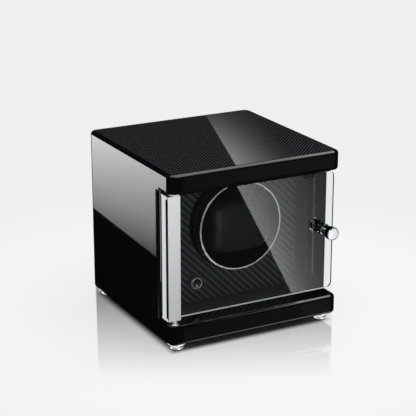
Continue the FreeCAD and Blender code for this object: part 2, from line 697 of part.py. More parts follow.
def build_selector():
    """Rotary switch behind the fascia, its nut, and the knob on its spindle."""
    back = FASCIA_Y + FASCIA_T
    half = SWITCH_W / 2
    nut_y = FASCIA_Y - SWITCH_NUT_T
    bush_y = FASCIA_Y - SWITCH_BUSH_L
    bearing_end = back + 2 * BEVEL
    body = rounded_block((SELECTOR_X - half, SELECTOR_X + half), (back, BOARD_Y),
                         (SELECTOR_Z - half, SELECTOR_Z + half), SWITCH_NUT_T, 1)
    nose = (SELECTOR_X, bush_y, SELECTOR_Z)
    bush = rod(SWITCH_BUSH_R, nose, (SELECTOR_X, back, SELECTOR_Z))
    bore = rod(SPINDLE_R + RUNNING_GAP, nose, (SELECTOR_X, bearing_end, SELECTOR_Z))
    store("selector_switch", joined(body, bush).cut(bore))
    nut = turned_y(SELECTOR_X, SELECTOR_Z, (SWITCH_BUSH_R, nut_y), (SWITCH_NUT_R, nut_y),
                   (SWITCH_NUT_R, FASCIA_Y), (SWITCH_BUSH_R, FASCIA_Y))
    store("selector_nut", nut)

    front = FASCIA_Y - SELECTOR_L
    spindle_front = front + SELECTOR_SKIN
    skirt = FASCIA_Y - SLIDE_GAP
    roof = bush_y - SLIDE_GAP
    wall_r = SELECTOR_R - SELECTOR_WALL
    knob = turned_y(
        SELECTOR_X, SELECTOR_Z, (SPINDLE_R, spindle_front), (0, spindle_front), (0, front),
        (SELECTOR_R - SELECTOR_BEVEL, front), (SELECTOR_R, front + SELECTOR_BEVEL), (SELECTOR_R, skirt),
        (wall_r, skirt), (wall_r, roof), (SPINDLE_R, roof))
    pointer_x = (SELECTOR_X - POINTER_W / 2, SELECTOR_X + POINTER_W / 2)
    pointer_z = (SELECTOR_Z + SPINDLE_R, SELECTOR_Z + SELECTOR_R)
    pointer = block(pointer_x, (front, front + POINTER_DEPTH), pointer_z)
    store("selector_knob", knob.cut(pointer))
    spindle_end = bearing_end - POINTER_DEPTH
    spindle = rod(SPINDLE_R, (SELECTOR_X, spindle_front, SELECTOR_Z), (SELECTOR_X, spindle_end, SELECTOR_Z))
    store("selector_spindle", spindle)


def build_electrics():
    """Circuit board, power inlet and the leads between them and the motor."""
    right = BOARD_X + BOARD_W
    rear = BOARD_Y + BOARD_T
    store("circuit_board", block((BOARD_X, right), (BOARD_Y, rear), (BOARD_Z, BOARD_Z + BOARD_H)))
    power_x = right - PLUG_INSET
    motor_x = BOARD_X + PLUG_INSET
    plug_z = BOARD_Z + PLUG_INSET
    plug_y = rear + PLUG_L
    height = (plug_z - PLUG_H / 2, plug_z + PLUG_H / 2)
    fitted = [block((x - PLUG_W / 2, x + PLUG_W / 2), (rear, plug_y), height) for x in (power_x, motor_x)]
    capacitor_x = BOARD_X + BOARD_W / 2
    capacitor_z = BOARD_Z + 2 * PLUG_INSET
    capacitor_r = PLUG_H / 2
    capacitor_end = (capacitor_x, plug_y + capacitor_r, capacitor_z)
    fitted.append(rod(capacitor_r, (capacitor_x, rear, capacitor_z), capacitor_end))
    chip_z = (height[1] + BOARD_T, height[1] + BOARD_T + PLUG_W)
    fitted.append(block((motor_x, motor_x + PLUG_W), (rear, rear + BOARD_T), chip_z))
    store("board_components", *fitted)

    face = BACK_Y + BACK_T
    inner = BACK_Y - JACK_TAIL
    bore_end = CASE_D - JACK_BORE_L
    jack = turned_y(
        JACK_X, JACK_Z, (0, inner), (JACK_R, inner), (JACK_R, face), (JACK_RIM_R, face), (JACK_RIM_R, CASE_D),
        (JACK_BORE_R, CASE_D), (JACK_BORE_R, bore_end), (JACK_PIN_R, bore_end), (JACK_PIN_R, face), (0, face))
    store("power_jack", jack)
    nut_y = BACK_Y - JACK_NUT_T
    nut = turned_y(
        JACK_X, JACK_Z, (JACK_R, nut_y), (JACK_NUT_R, nut_y), (JACK_NUT_R, BACK_Y), (JACK_R, BACK_Y))
    store("jack_nut", nut)

    floor = PANEL + 2 * LEAD_R
    lead("power_lead", [
        (JACK_X, inner, JACK_Z), (JACK_X, inner - 18, JACK_Z), (JACK_X - 20, inner - 42, floor),
        (power_x, plug_y + 18, plug_z), (power_x, plug_y, plug_z)])
    lead("motor_lead", [
        (motor_x, plug_y, plug_z), (motor_x, plug_y + 20, plug_z), (motor_x + 8, plug_y + 60, floor),
        (-MOTOR_R, MOTOR_END + 12, PINION_Z - MOTOR_R), (-MOTOR_R / 2, MOTOR_END + 12, PINION_Z),
        (-MOTOR_R / 2, MOTOR_END, PINION_Z)])


def main():
    """Builds every sub-assembly."""
    os.makedirs("parts", exist_ok=True)
    build_case()
    build_feet()
    build_fascia()
    build_rotor()
    build_pillow()
    build_drive()
    build_door()
    build_selector()
    build_electrics()


main()
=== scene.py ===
import json
import logging
import math
from collections.abc import Callable, Iterable, Sequence
from dataclasses import dataclass
from enum import Enum
from typing import Any, ClassVar, Union

import bmesh
import bpy
from bmesh.types import BMesh, BMVert
from bpy.types import Collection, Material, Node, NodeInputs, NodeSocket, NodeTree
from bpy.types import Object as Piece
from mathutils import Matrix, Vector

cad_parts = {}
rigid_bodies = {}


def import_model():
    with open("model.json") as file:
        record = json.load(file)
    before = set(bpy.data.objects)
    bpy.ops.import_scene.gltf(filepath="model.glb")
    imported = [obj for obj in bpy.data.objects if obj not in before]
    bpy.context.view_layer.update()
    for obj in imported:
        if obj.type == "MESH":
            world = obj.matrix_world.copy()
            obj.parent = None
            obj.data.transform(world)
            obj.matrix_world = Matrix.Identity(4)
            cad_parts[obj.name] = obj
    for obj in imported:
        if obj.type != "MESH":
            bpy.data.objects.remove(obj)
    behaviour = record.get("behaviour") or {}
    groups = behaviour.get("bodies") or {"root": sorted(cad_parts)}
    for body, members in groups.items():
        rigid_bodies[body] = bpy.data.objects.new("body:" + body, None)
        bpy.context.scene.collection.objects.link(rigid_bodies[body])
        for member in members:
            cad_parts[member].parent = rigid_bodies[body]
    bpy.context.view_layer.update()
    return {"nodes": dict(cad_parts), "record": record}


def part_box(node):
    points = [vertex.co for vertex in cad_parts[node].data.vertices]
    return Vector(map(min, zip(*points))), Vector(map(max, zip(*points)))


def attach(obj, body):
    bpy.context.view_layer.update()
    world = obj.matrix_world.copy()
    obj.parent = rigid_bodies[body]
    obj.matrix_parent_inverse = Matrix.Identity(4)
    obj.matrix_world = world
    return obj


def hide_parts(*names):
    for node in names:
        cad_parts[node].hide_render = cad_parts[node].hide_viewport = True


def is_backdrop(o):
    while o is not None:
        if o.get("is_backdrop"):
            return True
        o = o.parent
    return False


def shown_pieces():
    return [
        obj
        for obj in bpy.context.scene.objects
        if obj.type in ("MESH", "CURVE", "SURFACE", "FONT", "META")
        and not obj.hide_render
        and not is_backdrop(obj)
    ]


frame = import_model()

log = logging.getLogger("winder_box")

MM = 0.001
SMOOTH_ANGLE = math.radians(34.0)
FLAT_ANGLE = math.radians(0.4)
MERGE_GAP = 2e-6
CASE_FRONT = -79.25
CASE_FOOT = 7.5
Span = tuple[float, float]
Colour = tuple[float, float, float]
Point = tuple[float, float, float]


def case_point(x: float, y: float, z: float) -> Vector:
    """Turns millimetres from the case's lower front edge into the shared frame, in metres."""
    return Vector((x, y + CASE_FRONT, z + CASE_FOOT)) * MM


def operator(operation: str, swapped: bool = False) -> Callable[..., "Field"]:
    """Makes a method that adds a Math node.

    Args:
        operation: the node's operation.
        swapped: True where the other value comes first.

    Returns:
        The method.
    """
    def method(self: "Field", *others: "Number") -> "Field":
        """Adds the node for this field and the others."""
        return self.graph.math(operation, *((*others, self) if swapped else (self, *others)))

    return method


class Field:
    """A node's output that can stand in an expression: each operator adds a Math node."""

    __add__ = operator("ADD")
    __radd__ = operator("ADD", swapped=True)
    __sub__ = operator("SUBTRACT")
    __rsub__ = operator("SUBTRACT", swapped=True)
    __mul__ = operator("MULTIPLY")
    __rmul__ = operator("MULTIPLY", swapped=True)
    __truediv__ = operator("DIVIDE")
    __mod__ = operator("FLOORED_MODULO")
    __pow__ = operator("POWER")
    __lt__ = operator("LESS_THAN")
    __gt__ = operator("GREATER_THAN")
    floor = operator("FLOOR")
    fraction = operator("FRACT")
    size = operator("ABSOLUTE")
    sine = operator("SINE")
    cosine = operator("COSINE")
    at_most = operator("MINIMUM")
    at_least = operator("MAXIMUM")

    def __init__(self, graph: "Graph", socket: NodeSocket) -> None:
        """Keeps the output and the graph that it belongs to."""
        self.graph = graph
        self.socket = socket

    def ease(self, low: float, high: float) -> "Field":
        """Gives a smooth step from 0 at low to 1 at high."""
        sockets = {"Value": self, "From Min": low, "From Max": high}
        return self.graph.field("ShaderNodeMapRange", sockets, interpolation_type="SMOOTHSTEP")


Number = Union[Field, float, int]
Sockets = dict[Any, Any]


class Graph:
    """A node tree that is written as expressions on its sockets."""

    def __init__(self, tree: NodeTree) -> None:
        """Starts an empty tree."""
        self.tree = tree
        tree.nodes.clear()

    def node(self, kind: str, sockets: Sockets | None = None, **settings: Any) -> Node:
        """Adds one node.

        Args:
            kind: the node's type.
            sockets: values or links by identifier, name or number.
            settings: properties, which are set first.

        Returns:
            The new node.
        """
        made = self.tree.nodes.new(kind)
        for name, value in settings.items():
            setattr(made, name, value)
        for key, value in (sockets or {}).items():
            self.put(self.find(made.inputs, key), value)
        return made

    def field(self, kind: str, sockets: Sockets | None = None, out: Any = 0, **settings: Any) -> Field:
        """Adds one node and gives one of its outputs."""
        return self.out(self.node(kind, sockets, **settings), out)

    def out(self, node: Node, key: Any = 0) -> Field:
        """Wraps one of a node's outputs."""
        return Field(self, self.find(node.outputs, key))

    @staticmethod
    def find(sockets: NodeInputs, key: Any) -> NodeSocket:
        """Finds a socket by its number, identifier or name."""
        if isinstance(key, int):
            return sockets[key]
        return next((socket for socket in sockets if socket.identifier == key), None) or sockets[key]

    def put(self, socket: NodeSocket, value: Any) -> None:
        """Links a field to a socket, or sets its value."""
        if isinstance(value, Field):
            self.tree.links.new(value.socket, socket)
        elif socket.type == "RGBA" and len(value) == 3:
            socket.default_value = (*value, 1.0)
        else:
            socket.default_value = value

    def math(self, operation: str, *values: Number) -> Field:
        """Adds a Math node for values or fields."""
        return self.field("ShaderNodeMath", dict(enumerate(values)), operation=operation)

    def vector(self, operation: str, first: Any, second: Any) -> Field:
        """Adds a Vector Math node; SCALE takes a number as its second value."""
        key = "Scale" if operation == "SCALE" else 1
        return self.field("ShaderNodeVectorMath", {0: first, key: second}, operation=operation)

    def mixed(self, share: Number, first: Any, second: Any) -> Field:
        """Adds a colour mix from first, at 0, to second, at 1."""
        sockets = {"Factor_Float": share, "A_Color": first, "B_Color": second}
        return self.field("ShaderNodeMix", sockets, "Result_Color", data_type="RGBA")

    def blend(self, share: Number, first: Field, second: Field) -> Field:
        """Adds a shader mix from first, at 0, to second, at 1."""
        return self.field("ShaderNodeMixShader", {0: share, 1: first, 2: second})

    def parts(self, vector: Field) -> tuple[Field, Field, Field]:
        """Splits a vector into its three values."""
        made = self.node("ShaderNodeSeparateXYZ", {0: vector})
        return self.out(made, 0), self.out(made, 1), self.out(made, 2)

    def joined(self, *values: Number) -> Field:
        """Joins up to three values into a vector."""
        return self.field("ShaderNodeCombineXYZ", dict(enumerate(values)))


class Paint(Graph):
    """A material's nodes, in millimetres of the shared frame."""

    def __init__(self, tree: NodeTree) -> None:
        """Starts with the place on the surface, in millimetres."""
        super().__init__(tree)
        self.place = self.vector("SCALE", self.field("ShaderNodeTexCoord", out="Object"), 1 / MM)

    def noise(self, stretch: float | Point, detail: float = 2.0, rough: float = 0.5) -> Field:
        """Noise over the surface.

        Args:
            stretch: how many features a millimetre holds, in all or along each axis.
            detail: finer layers added to it.
            rough: strength of the finer layers.

        Returns:
            Values round 0.5.
        """
        along = (stretch,) * 3 if isinstance(stretch, float) else stretch
        place = self.vector("MULTIPLY", self.place, along)
        sockets = {"Vector": place, "Scale": 1.0, "Detail": detail, "Roughness": rough}
        return self.field("ShaderNodeTexNoise", sockets, noise_dimensions="3D")

    def cells(self, scale: float) -> Field:
        """Distances in a pattern of irregular cells, scale of them to a millimetre."""
        place = self.vector("SCALE", self.place, scale)
        return self.field("ShaderNodeTexVoronoi", {"Vector": place, "Scale": 1.0}, feature="F1")

    def bump(self, height: Field, depth: float, strength: float = 1.0) -> Field:
        """Normal from a height of 0 to 1, whose full depth is in millimetres."""
        return self.field("ShaderNodeBump", {"Height": height, "Distance": depth * MM, "Strength": strength})

    def toned(self, share: Number, colour: Colour, low: float, high: float = 1.0) -> Field:
        """Mixes a colour from its low multiple, at 0, to its high one, at 1."""
        return self.mixed(share, *(tuple(scale * part for part in colour) for scale in (low, high)))

    def surface(self, **sockets: Any) -> Field:
        """Adds the main shader; sockets are named with _ for a space."""
        named = {name.replace("_", " "): value for name, value in sockets.items()}
        return self.field("ShaderNodeBsdfPrincipled", named)


def painted(name: str, shader: Callable[[Paint], Field]) -> Material:
    """Makes a material from a function that builds its shader."""
    material = bpy.data.materials.new(name)
    material.use_nodes = True
    paint = Paint(material.node_tree)
    paint.node("ShaderNodeOutputMaterial", {"Surface": shader(paint)})
    return material


@dataclass(frozen=True)
class Finish:
    """Base of the finishes: each makes its material once."""

    name: str
    made: ClassVar[dict[str, Material]] = {}

    def material(self) -> Material:
        """Gives the finish's material, made at the first call."""
        if self.name not in self.made:
            self.made[self.name] = painted(f"finish_{self.name}", self.shader)
        return self.made[self.name]

    def shader(self, paint: Paint) -> Field:
        """Builds the finish's nodes and gives their shader."""
        raise NotImplementedError


@dataclass(frozen=True)
class Lacquer(Finish):
    """Polished lacquer with the faintest flow in its gloss, and unpolished satin behind the door."""

    colour: Colour = (0.003, 0.003, 0.0034)
    gloss: float = 0.008
    satin: Colour = (0.046, 0.046, 0.048)
    satin_gloss: float = 0.5
    inside: float = 67.1
    door_back: float = -54.2

    def shader(self, paint: Paint) -> Field:
        """Deep colour and a clear coat outside, and plain satin inside."""
        haze = paint.noise(0.05, 3.0)
        flow = paint.noise(0.16, 1.0)
        grain = paint.noise(3.0, 3.0, 0.6)
        x, y, _ = paint.parts(paint.place)
        polished = 1 - (x.size() < self.inside) * (y > self.door_back)
        deep = paint.toned(haze, self.colour, 1.0, 1.5)
        plain = paint.toned(grain, self.satin, 0.85)
        matt = self.satin_gloss + 0.1 * grain
        return paint.surface(
            Base_Color=paint.mixed(polished, plain, deep),
            Roughness=matt + (self.gloss + 0.012 * haze - matt) * polished,
            Normal=paint.bump(flow, 0.0006),
            Coat_Weight=polished,
            Coat_Roughness=0.008)


class Weave(Enum):
    """Plane that a weave lies in, by its two axes, and the way that its diagonal leans."""

    FLAT = (0, 1, 1)
    UPRIGHT = (0, 2, -1)


@dataclass(frozen=True)
class CarbonTwill(Finish):
    """Two-over-two twill of dark tows under a clear layer."""

    weave: Weave = Weave.FLAT
    tow: float = 0.97
    dark: float = 0.001
    light: float = 0.045
    # weft tows' share of the warp's tone: a painted sheen
    under: float = 0.06
    gloss: float = 0.35
    shine: float = 0.06
    coat: float = 1.0
    repeat: ClassVar[int] = 4
    fibres: ClassVar[float] = 14.0
    fibre_run: ClassVar[float] = 0.25

    def shader(self, paint: Paint) -> Field:
        """Tows that go over and under, with fibres along them, and a painted sheen in their colour."""
        across, along, lean = self.weave.value
        axes = paint.parts(paint.place)
        u = axes[across] / self.tow
        v = axes[along] / self.tow
        column = u.floor()
        row = v.floor()
        shift = 1 if lean > 0 else 0
        warp_run = (column - lean * v + shift) % self.repeat
        weft_run = (u - lean * row) % self.repeat
        warp_up = (column - lean * row) % self.repeat < self.repeat / 2
        warp = self.crown(u) * self.wave(warp_run)
        weft = self.crown(v) * self.wave(weft_run - self.repeat / 2)
        height = weft + (warp - weft) * warp_up
        warp_fibre = paint.noise(self.stretch(across))
        weft_fibre = paint.noise(self.stretch(along))
        fibre = weft_fibre + (warp_fibre - weft_fibre) * warp_up
        # painted sheen: weft tows darker than warp tows, each tow brightest on its crown and darker where it dips
        tone = (self.under + (1 - self.under) * warp_up) * (0.55 + 0.45 * height) * (0.7 + 0.6 * fibre)
        dark = (self.dark, self.dark, self.dark * 1.06)
        light = (self.light, self.light, self.light * 1.05)
        return paint.surface(
            Base_Color=paint.mixed(tone, dark, light),
            Roughness=self.gloss + 0.2 * fibre,
            Normal=paint.bump(height + 0.15 * fibre, 0.05 * self.tow, 0.6),
            Specular_IOR_Level=self.shine,
            Coat_Weight=self.coat,
            Coat_Roughness=0.01)

    @staticmethod
    def crown(run: Field) -> Field:
        """Height across a tow: 1 at its middle and 0 at its edges."""
        return 1 - 4 * (run.fraction() - 0.5) ** 2

    @staticmethod
    def wave(run: Field) -> Field:
        """Height along a tow that goes over two and under two."""
        return 0.35 + 0.65 * (run * (math.pi / 2)).sine().at_least(0)

    def stretch(self, axis: int) -> Point:
        """Features to a millimetre for fibres that are thin across one axis and long along the others."""
        return tuple(self.fibres / self.tow if number == axis else self.fibre_run for number in range(3))


@dataclass(frozen=True)
class Metal(Finish):
    """Bare metal with fine marks along one axis."""

    colour: Colour = (0.86, 0.86, 0.87)
    gloss: float = 0.06
    marks: float = 0.05
    stretch: float | Point = 3.0
    depth: float = 0.0006

    def shader(self, paint: Paint) -> Field:
        """Metal whose marks change its gloss and tone."""
        mark = paint.noise(self.stretch, 4.0, 0.6)
        cloud = paint.noise(0.08)
        return paint.surface(
            Base_Color=self.tint(paint, mark * 0.6 + cloud * 0.4),
            Metallic=1.0,
            Roughness=self.polish(paint) + self.marks * mark,
            Normal=paint.bump(mark, self.depth))

    def polish(self, paint: Paint) -> Number:
        """Gives the roughness between the marks."""
        return self.gloss

    def tint(self, paint: Paint, tone: Field) -> Field:
        """Mixes the worn and the clean colour."""
        return paint.toned(tone, self.colour, 0.86)


@dataclass(frozen=True)
class EdgedMetal(Metal):
    """Metal strip whose cut edge on the left is painted near black as shade, and whose colour is painted darker
    towards its foot as shade.
    """

    edge: float = -84.75
    painted_shade_edge_colour: Colour = (0.02, 0.02, 0.02)
    painted_shade_foot_colour: Colour = (0.6, 0.6, 0.61)
    foot: float = 10.0
    head: float = 160.0

    def tint(self, paint: Paint, tone: Field) -> Field:
        """Paints shade towards the foot and on the cut edge."""
        x, _, z = paint.parts(paint.place)
        # painted shade: the colour darkens from the head down to the foot
        face = paint.mixed(z.ease(self.foot, self.head), self.painted_shade_foot_colour, super().tint(paint, tone))
        # painted shade: the cut edge on the left is near black, standing in for the dark gap by the stile
        return paint.mixed(x < self.edge, face, self.painted_shade_edge_colour)


@dataclass(frozen=True)
class BandedMetal(Metal):
    """Turned metal with a dark polished band between two depths."""

    start: float = -84.2
    end: float = 0.0
    band_colour: Colour = (0.14, 0.14, 0.145)
    band_gloss: float = 0.07

    def band(self, paint: Paint) -> Field:
        """Gives 1 on the band."""
        _, y, _ = paint.parts(paint.place)
        return (y > self.start) * (y < self.end)

    def polish(self, paint: Paint) -> Number:
        """Polishes the band in its own way."""
        return self.gloss + (self.band_gloss - self.gloss) * self.band(paint)

    def tint(self, paint: Paint, tone: Field) -> Field:
        """Darkens the band."""
        return paint.mixed(self.band(paint), super().tint(paint, tone), self.band_colour)


@dataclass(frozen=True)
class Plastic(Finish):
    """Moulded plastic with a fine spark texture."""

    colour: Colour = (0.03, 0.03, 0.032)
    gloss: float = 0.4
    grain: float = 4.0
    depth: float = 0.02
    coat: float = 0.0

    def shader(self, paint: Paint) -> Field:
        """Colour that clouds a little over a fine texture."""
        spark = paint.noise(self.grain, 3.0, 0.6)
        cloud = paint.noise(0.07)
        return paint.surface(
            Base_Color=paint.toned(cloud, self.colour, 0.82),
            Roughness=self.gloss + 0.16 * spark,
            Normal=paint.bump(spark, self.depth),
            Coat_Weight=self.coat,
            Coat_Roughness=0.03)


@dataclass(frozen=True)
class Leatherette(Finish):
    """Coated cloth with a pebbled grain."""

    colour: Colour = (0.006, 0.006, 0.0065)
    pebble: float = 1.1

    def shader(self, paint: Paint) -> Field:
        """Pebbles with creases between them and a soft sheen."""
        pebble = paint.cells(self.pebble).ease(0.05, 0.75)
        fine = paint.noise(6.0, 3.0, 0.6)
        worn = paint.noise(0.09)
        height = (1 - pebble) * 0.8 + fine * 0.2
        return paint.surface(
            Base_Color=paint.toned(height * 0.6 + worn * 0.4, self.colour, 0.6, 1.4),
            Roughness=0.24 + 0.14 * pebble + 0.06 * worn,
            Normal=paint.bump(height, 0.05, 0.7),
            Specular_IOR_Level=0.55)


@dataclass(frozen=True)
class Clear(Finish):
    """Polished clear sheet that lets lamps through."""

    colour: Colour = (0.985, 0.99, 0.99)
    border: float = -73.1
    border_colour: Colour = (0.001, 0.001, 0.001)
    ground: float = 32.4
    ground_gloss: float = 0.6
    # glow of the rough ground edge: a painted highlight
    painted_edge_glow: float = 0.15
    refraction: float = 1.49
    passage: float = 0.93

    def shader(self, paint: Paint) -> Field:
        """Clear body, black border, rough ground edge with a painted glow as its highlight, and plain passage for
        lamps' rays.
        """
        smudge = paint.noise(0.03, 3.0)
        x, _, z = paint.parts(paint.place)
        edge = z < self.ground
        body = paint.surface(
            Base_Color=paint.mixed(x < self.border, self.colour, self.border_colour),
            Transmission_Weight=1.0,
            IOR=self.refraction,
            Roughness=0.004 * smudge + self.ground_gloss * edge,
            # painted highlight: the ground edge glows though it is no lamp
            Emission_Color=paint.mixed(edge, (0.0, 0.0, 0.0), (self.painted_edge_glow,) * 3),
            Emission_Strength=1.0)
        shadow = paint.field("ShaderNodeLightPath", out="Is Shadow Ray")
        return paint.blend(shadow, body, paint.field("ShaderNodeBsdfTransparent", {"Color": (self.passage,) * 3}))


@dataclass(frozen=True)
class CircuitMask(Finish):
    """Printed board: tracks under a coloured mask, with bare pads."""

    mask: Colour = (0.012, 0.11, 0.05)
    track: Colour = (0.03, 0.19, 0.085)
    pad: Colour = (0.62, 0.5, 0.26)
    pitch: float = 2.54

    def shader(self, paint: Paint) -> Field:
        """Tracks that change lane from cell to cell, and a round pad in some cells."""
        x, _, z = paint.parts(paint.place)
        u = x / self.pitch
        v = z / self.pitch
        cell = paint.joined((u / 4).floor(), v.floor())
        chance = paint.field("ShaderNodeTexWhiteNoise", {"Vector": cell}, noise_dimensions="3D")
        across = u.fraction() - 0.5
        rise = v.fraction() - 0.5
        lane = (rise.size() < 0.16) * (chance > 0.35)
        round_pad = (across * across + rise * rise < 0.07) * (chance > 0.6)
        return paint.surface(
            Base_Color=paint.mixed(round_pad, paint.mixed(lane, self.mask, self.track), self.pad),
            Metallic=round_pad * 0.9,
            Roughness=0.32 + 0.1 * paint.noise(2.0),
            Normal=paint.bump(lane.at_least(round_pad), 0.04))


@dataclass(frozen=True)
class Fibreboard(Finish):
    """Raw fibreboard with pressed fibres."""

    colour: Colour = (0.34, 0.24, 0.15)

    def shader(self, paint: Paint) -> Field:
        """Fibres and darker flecks."""
        fibre = paint.noise((1.5, 4.0, 0.6), 4.0, 0.7)
        fleck = paint.cells(0.7).ease(0.1, 0.5)
        return paint.surface(
            Base_Color=paint.toned(fibre * 0.7 + fleck * 0.3, self.colour, 0.55, 1.15),
            Roughness=0.8 + 0.15 * fibre,
            Normal=paint.bump(fibre, 0.08))


BRUSHED = (9.0, 9.0, 0.12)
FINISHES: dict[str, Finish] = {finish.name: finish for finish in (
    Lacquer("lacquer"),
    CarbonTwill("carbon_weave"),
    Fibreboard("board_core"),
    Plastic("back_black", (0.022, 0.022, 0.024), 0.55, 2.5, 0.03),
    Metal("chrome", (0.88, 0.88, 0.89), 0.035, 0.05, 2.0, 0.0002),
    Metal("brushed_aluminium", (0.84, 0.84, 0.85), 0.26, 0.16, BRUSHED, 0.002),
    Clear("clear_pane"),
    Metal("steel", (0.58, 0.58, 0.6), 0.28, 0.14, (4.0, 0.8, 4.0), 0.002),
    Plastic("drum_black", (0.005, 0.005, 0.0055), 0.16, 3.0, 0.004, 0.6),
    Plastic("moulded_black", (0.026, 0.026, 0.028), 0.42, 5.0, 0.02),
    Plastic("gear_white", (0.8, 0.79, 0.74), 0.36, 2.0, 0.006),
    Metal("brass", (0.74, 0.53, 0.23), 0.2, 0.14, (5.0, 1.0, 5.0), 0.002),
    Leatherette("leatherette"),
    Plastic("pad_rubber", (0.03, 0.03, 0.03), 0.72, 3.0, 0.04),
    CircuitMask("board_green"),
    Plastic("lead_black", (0.018, 0.018, 0.019), 0.46, 2.0, 0.01),
    Metal("magnet", (0.16, 0.16, 0.17), 0.45, 0.2, 1.5, 0.01),
)}
RING_METAL = BandedMetal("ring_metal", (0.9, 0.9, 0.91), 0.2, 0.03, 2.0, 0.0002,
                         -48.3, -40.5, (0.07, 0.07, 0.072))
STRIP_METAL = EdgedMetal("strip_metal", (0.97, 0.97, 0.98), 0.26, 0.16, BRUSHED, 0.002)
DOOR_KNOB_METAL = BandedMetal("door_knob_metal", (0.26, 0.26, 0.265), 0.3, 0.06, 4.0, 0.0004,
                              -88.9, band_colour=(0.05, 0.05, 0.052))
KNOB_METAL = BandedMetal("knob_metal", (0.5, 0.5, 0.51), 0.25, 0.04, 5.0, 0.001,
                         -40.52, -40.35, (0.012, 0.012, 0.0125), 0.1)
THREAD = Plastic("thread", (0.02, 0.02, 0.021), 0.6, 6.0, 0.03)
POINTER_WHITE = Plastic("pointer_white", (0.7, 0.7, 0.7), 0.4, 3.0, 0.004)
NODE_FINISHES: dict[str, Finish] = {
    "carbon_fascia": CarbonTwill("fascia_twill", Weave.UPRIGHT, 1.7, 0.001, 0.062, 0.32, 0.45, 0.06, 0.0),
    "hinge_cover_strip": STRIP_METAL,
    "strike_plate": Metal("blacked_steel", (0.03, 0.03, 0.032), 0.4, 0.15, 4.0, 0.001),
    "door_knob": DOOR_KNOB_METAL,
    "rotor_ring": RING_METAL,
    "selector_knob": KNOB_METAL,
}


class Recipe(Graph):
    """A Geometry Nodes tree with named inputs, which ends in realised and dressed geometry."""

    def __init__(self, name: str) -> None:
        """Starts a tree with a geometry input and output."""
        super().__init__(bpy.data.node_groups.new(name, "GeometryNodeTree"))
        for side in ("INPUT", "OUTPUT"):
            self.tree.interface.new_socket("Geometry", in_out=side, socket_type="NodeSocketGeometry")
        self.entry = self.node("NodeGroupInput")
        self.exit = self.node("NodeGroupOutput")
        self.inputs: dict[str, str] = {}
        self.dress = self.given("Finish", "Material")
        self.geometry = self.out(self.entry)

    def given(self, name: str, kind: str) -> Field:
        """Adds a named input of one socket type and gives its output."""
        socket = self.tree.interface.new_socket(name, in_out="INPUT", socket_type=f"NodeSocket{kind}")
        self.inputs[name] = socket.identifier
        return self.out(self.entry, socket.identifier)

    def step(self, kind: str, sockets: Sockets | None = None, out: Any = 0, **settings: Any) -> Field:
        """Adds a geometry node and gives one of its outputs."""
        return self.field(f"GeometryNode{kind}", sockets, out, **settings)

    def close(self, made: Field) -> "Recipe":
        """Ends the tree: instances are realised and the finish is set."""
        real = self.step("RealizeInstances", {0: made})
        self.put(self.exit.inputs[0], self.step("SetMaterial", {"Geometry": real, "Material": self.dress}))
        return self

    def copies(self, points: Field, single: Field, **sockets: Field) -> "Recipe":
        """Ends the tree with a copy of one geometry at each point."""
        return self.close(self.step("InstanceOnPoints", {"Points": points, "Instance": single, **sockets}))

    def run(self, name: str, points: Sequence[Vector], closed: bool = False, **values: Any) -> Piece:
        """Runs the tree on a row of points.

        Args:
            name: name of the new object.
            points: points, each joined to the next.
            closed: True where the last is joined to the first.
            values: the tree's inputs, by name.

        Returns:
            A plain mesh object with no modifier.
        """
        mesh = bpy.data.meshes.new(name)
        links = [(number, number + 1) for number in range(len(points) - 1)]
        if closed:
            links.append((len(points) - 1, 0))
        mesh.from_pydata([tuple(point) for point in points], links, [])
        piece = linked(bpy.data.objects.new(name, mesh))
        modifier = piece.modifiers.new(name, "NODES")
        modifier.node_group = self.tree
        for key, value in values.items():
            modifier[self.inputs[key]] = value
        return settle(piece)


def linked(thing: Piece) -> Piece:
    """Links an object to the scene."""
    bpy.context.scene.collection.objects.link(thing)
    return thing


def settle(piece: Piece) -> Piece:
    """Turns a piece and its modifiers into one plain mesh."""
    depsgraph = bpy.context.evaluated_depsgraph_get()
    mesh = bpy.data.meshes.new_from_object(
        piece.evaluated_get(depsgraph), preserve_all_data_layers=True, depsgraph=depsgraph)
    mesh.name = piece.name
    piece.modifiers.clear()
    piece.data = mesh
    return piece


def modified(piece: Piece, kind: str, **settings: Any) -> Piece:
    """Puts one modifier on a piece and settles it."""
    modifier = piece.modifiers.new(kind.lower(), kind)
    for name, value in settings.items():
        setattr(modifier, name, value)
    return settle(piece)


def shade(piece: Piece, outward: bool = True) -> Piece:
    """Smooths a mesh up to the sharp angle, after turning its faces outwards."""
    if outward:
        shell = bmesh.new()
        shell.from_mesh(piece.data)
        bmesh.ops.recalc_face_normals(shell, faces=shell.faces)
        shell.to_mesh(piece.data)
        shell.free()
    piece.data.shade_smooth()
    piece.data.set_sharp_from_angle(angle=SMOOTH_ANGLE)
    return piece


def turning_recipe() -> Recipe:
    """Tree that turns a profile, given as radius and place along the axis, about its axis."""
    recipe = Recipe("turned_piece")
    sides = recipe.given("Sides", "Int")
    centre = recipe.given("Centre", "Vector")
    turn = recipe.given("Turn", "Vector")
    profile = recipe.geometry
    count = recipe.step("AttributeDomainSize", {0: profile}, "Point Count")
    grid = recipe.step("MeshGrid", {"Vertices X": sides + 1, "Vertices Y": count})
    index = recipe.step("InputIndex")
    sockets = {"Geometry": profile, "Value": recipe.step("InputPosition"), "Index": index % count}
    radius, along, _ = recipe.parts(recipe.step("SampleIndex", sockets, data_type="FLOAT_VECTOR"))
    angle = (index / count + 1e-4).floor() * (2 * math.pi) / sides
    ring = recipe.joined(radius * angle.cosine(), radius * angle.sine(), along)
    moved = recipe.step("SetPosition", {"Geometry": grid, "Position": ring})
    welded = recipe.step("MergeByDistance", {"Geometry": moved, "Distance": MERGE_GAP})
    return recipe.close(recipe.step("Transform", {"Geometry": welded, "Translation": centre, "Rotation": turn}))


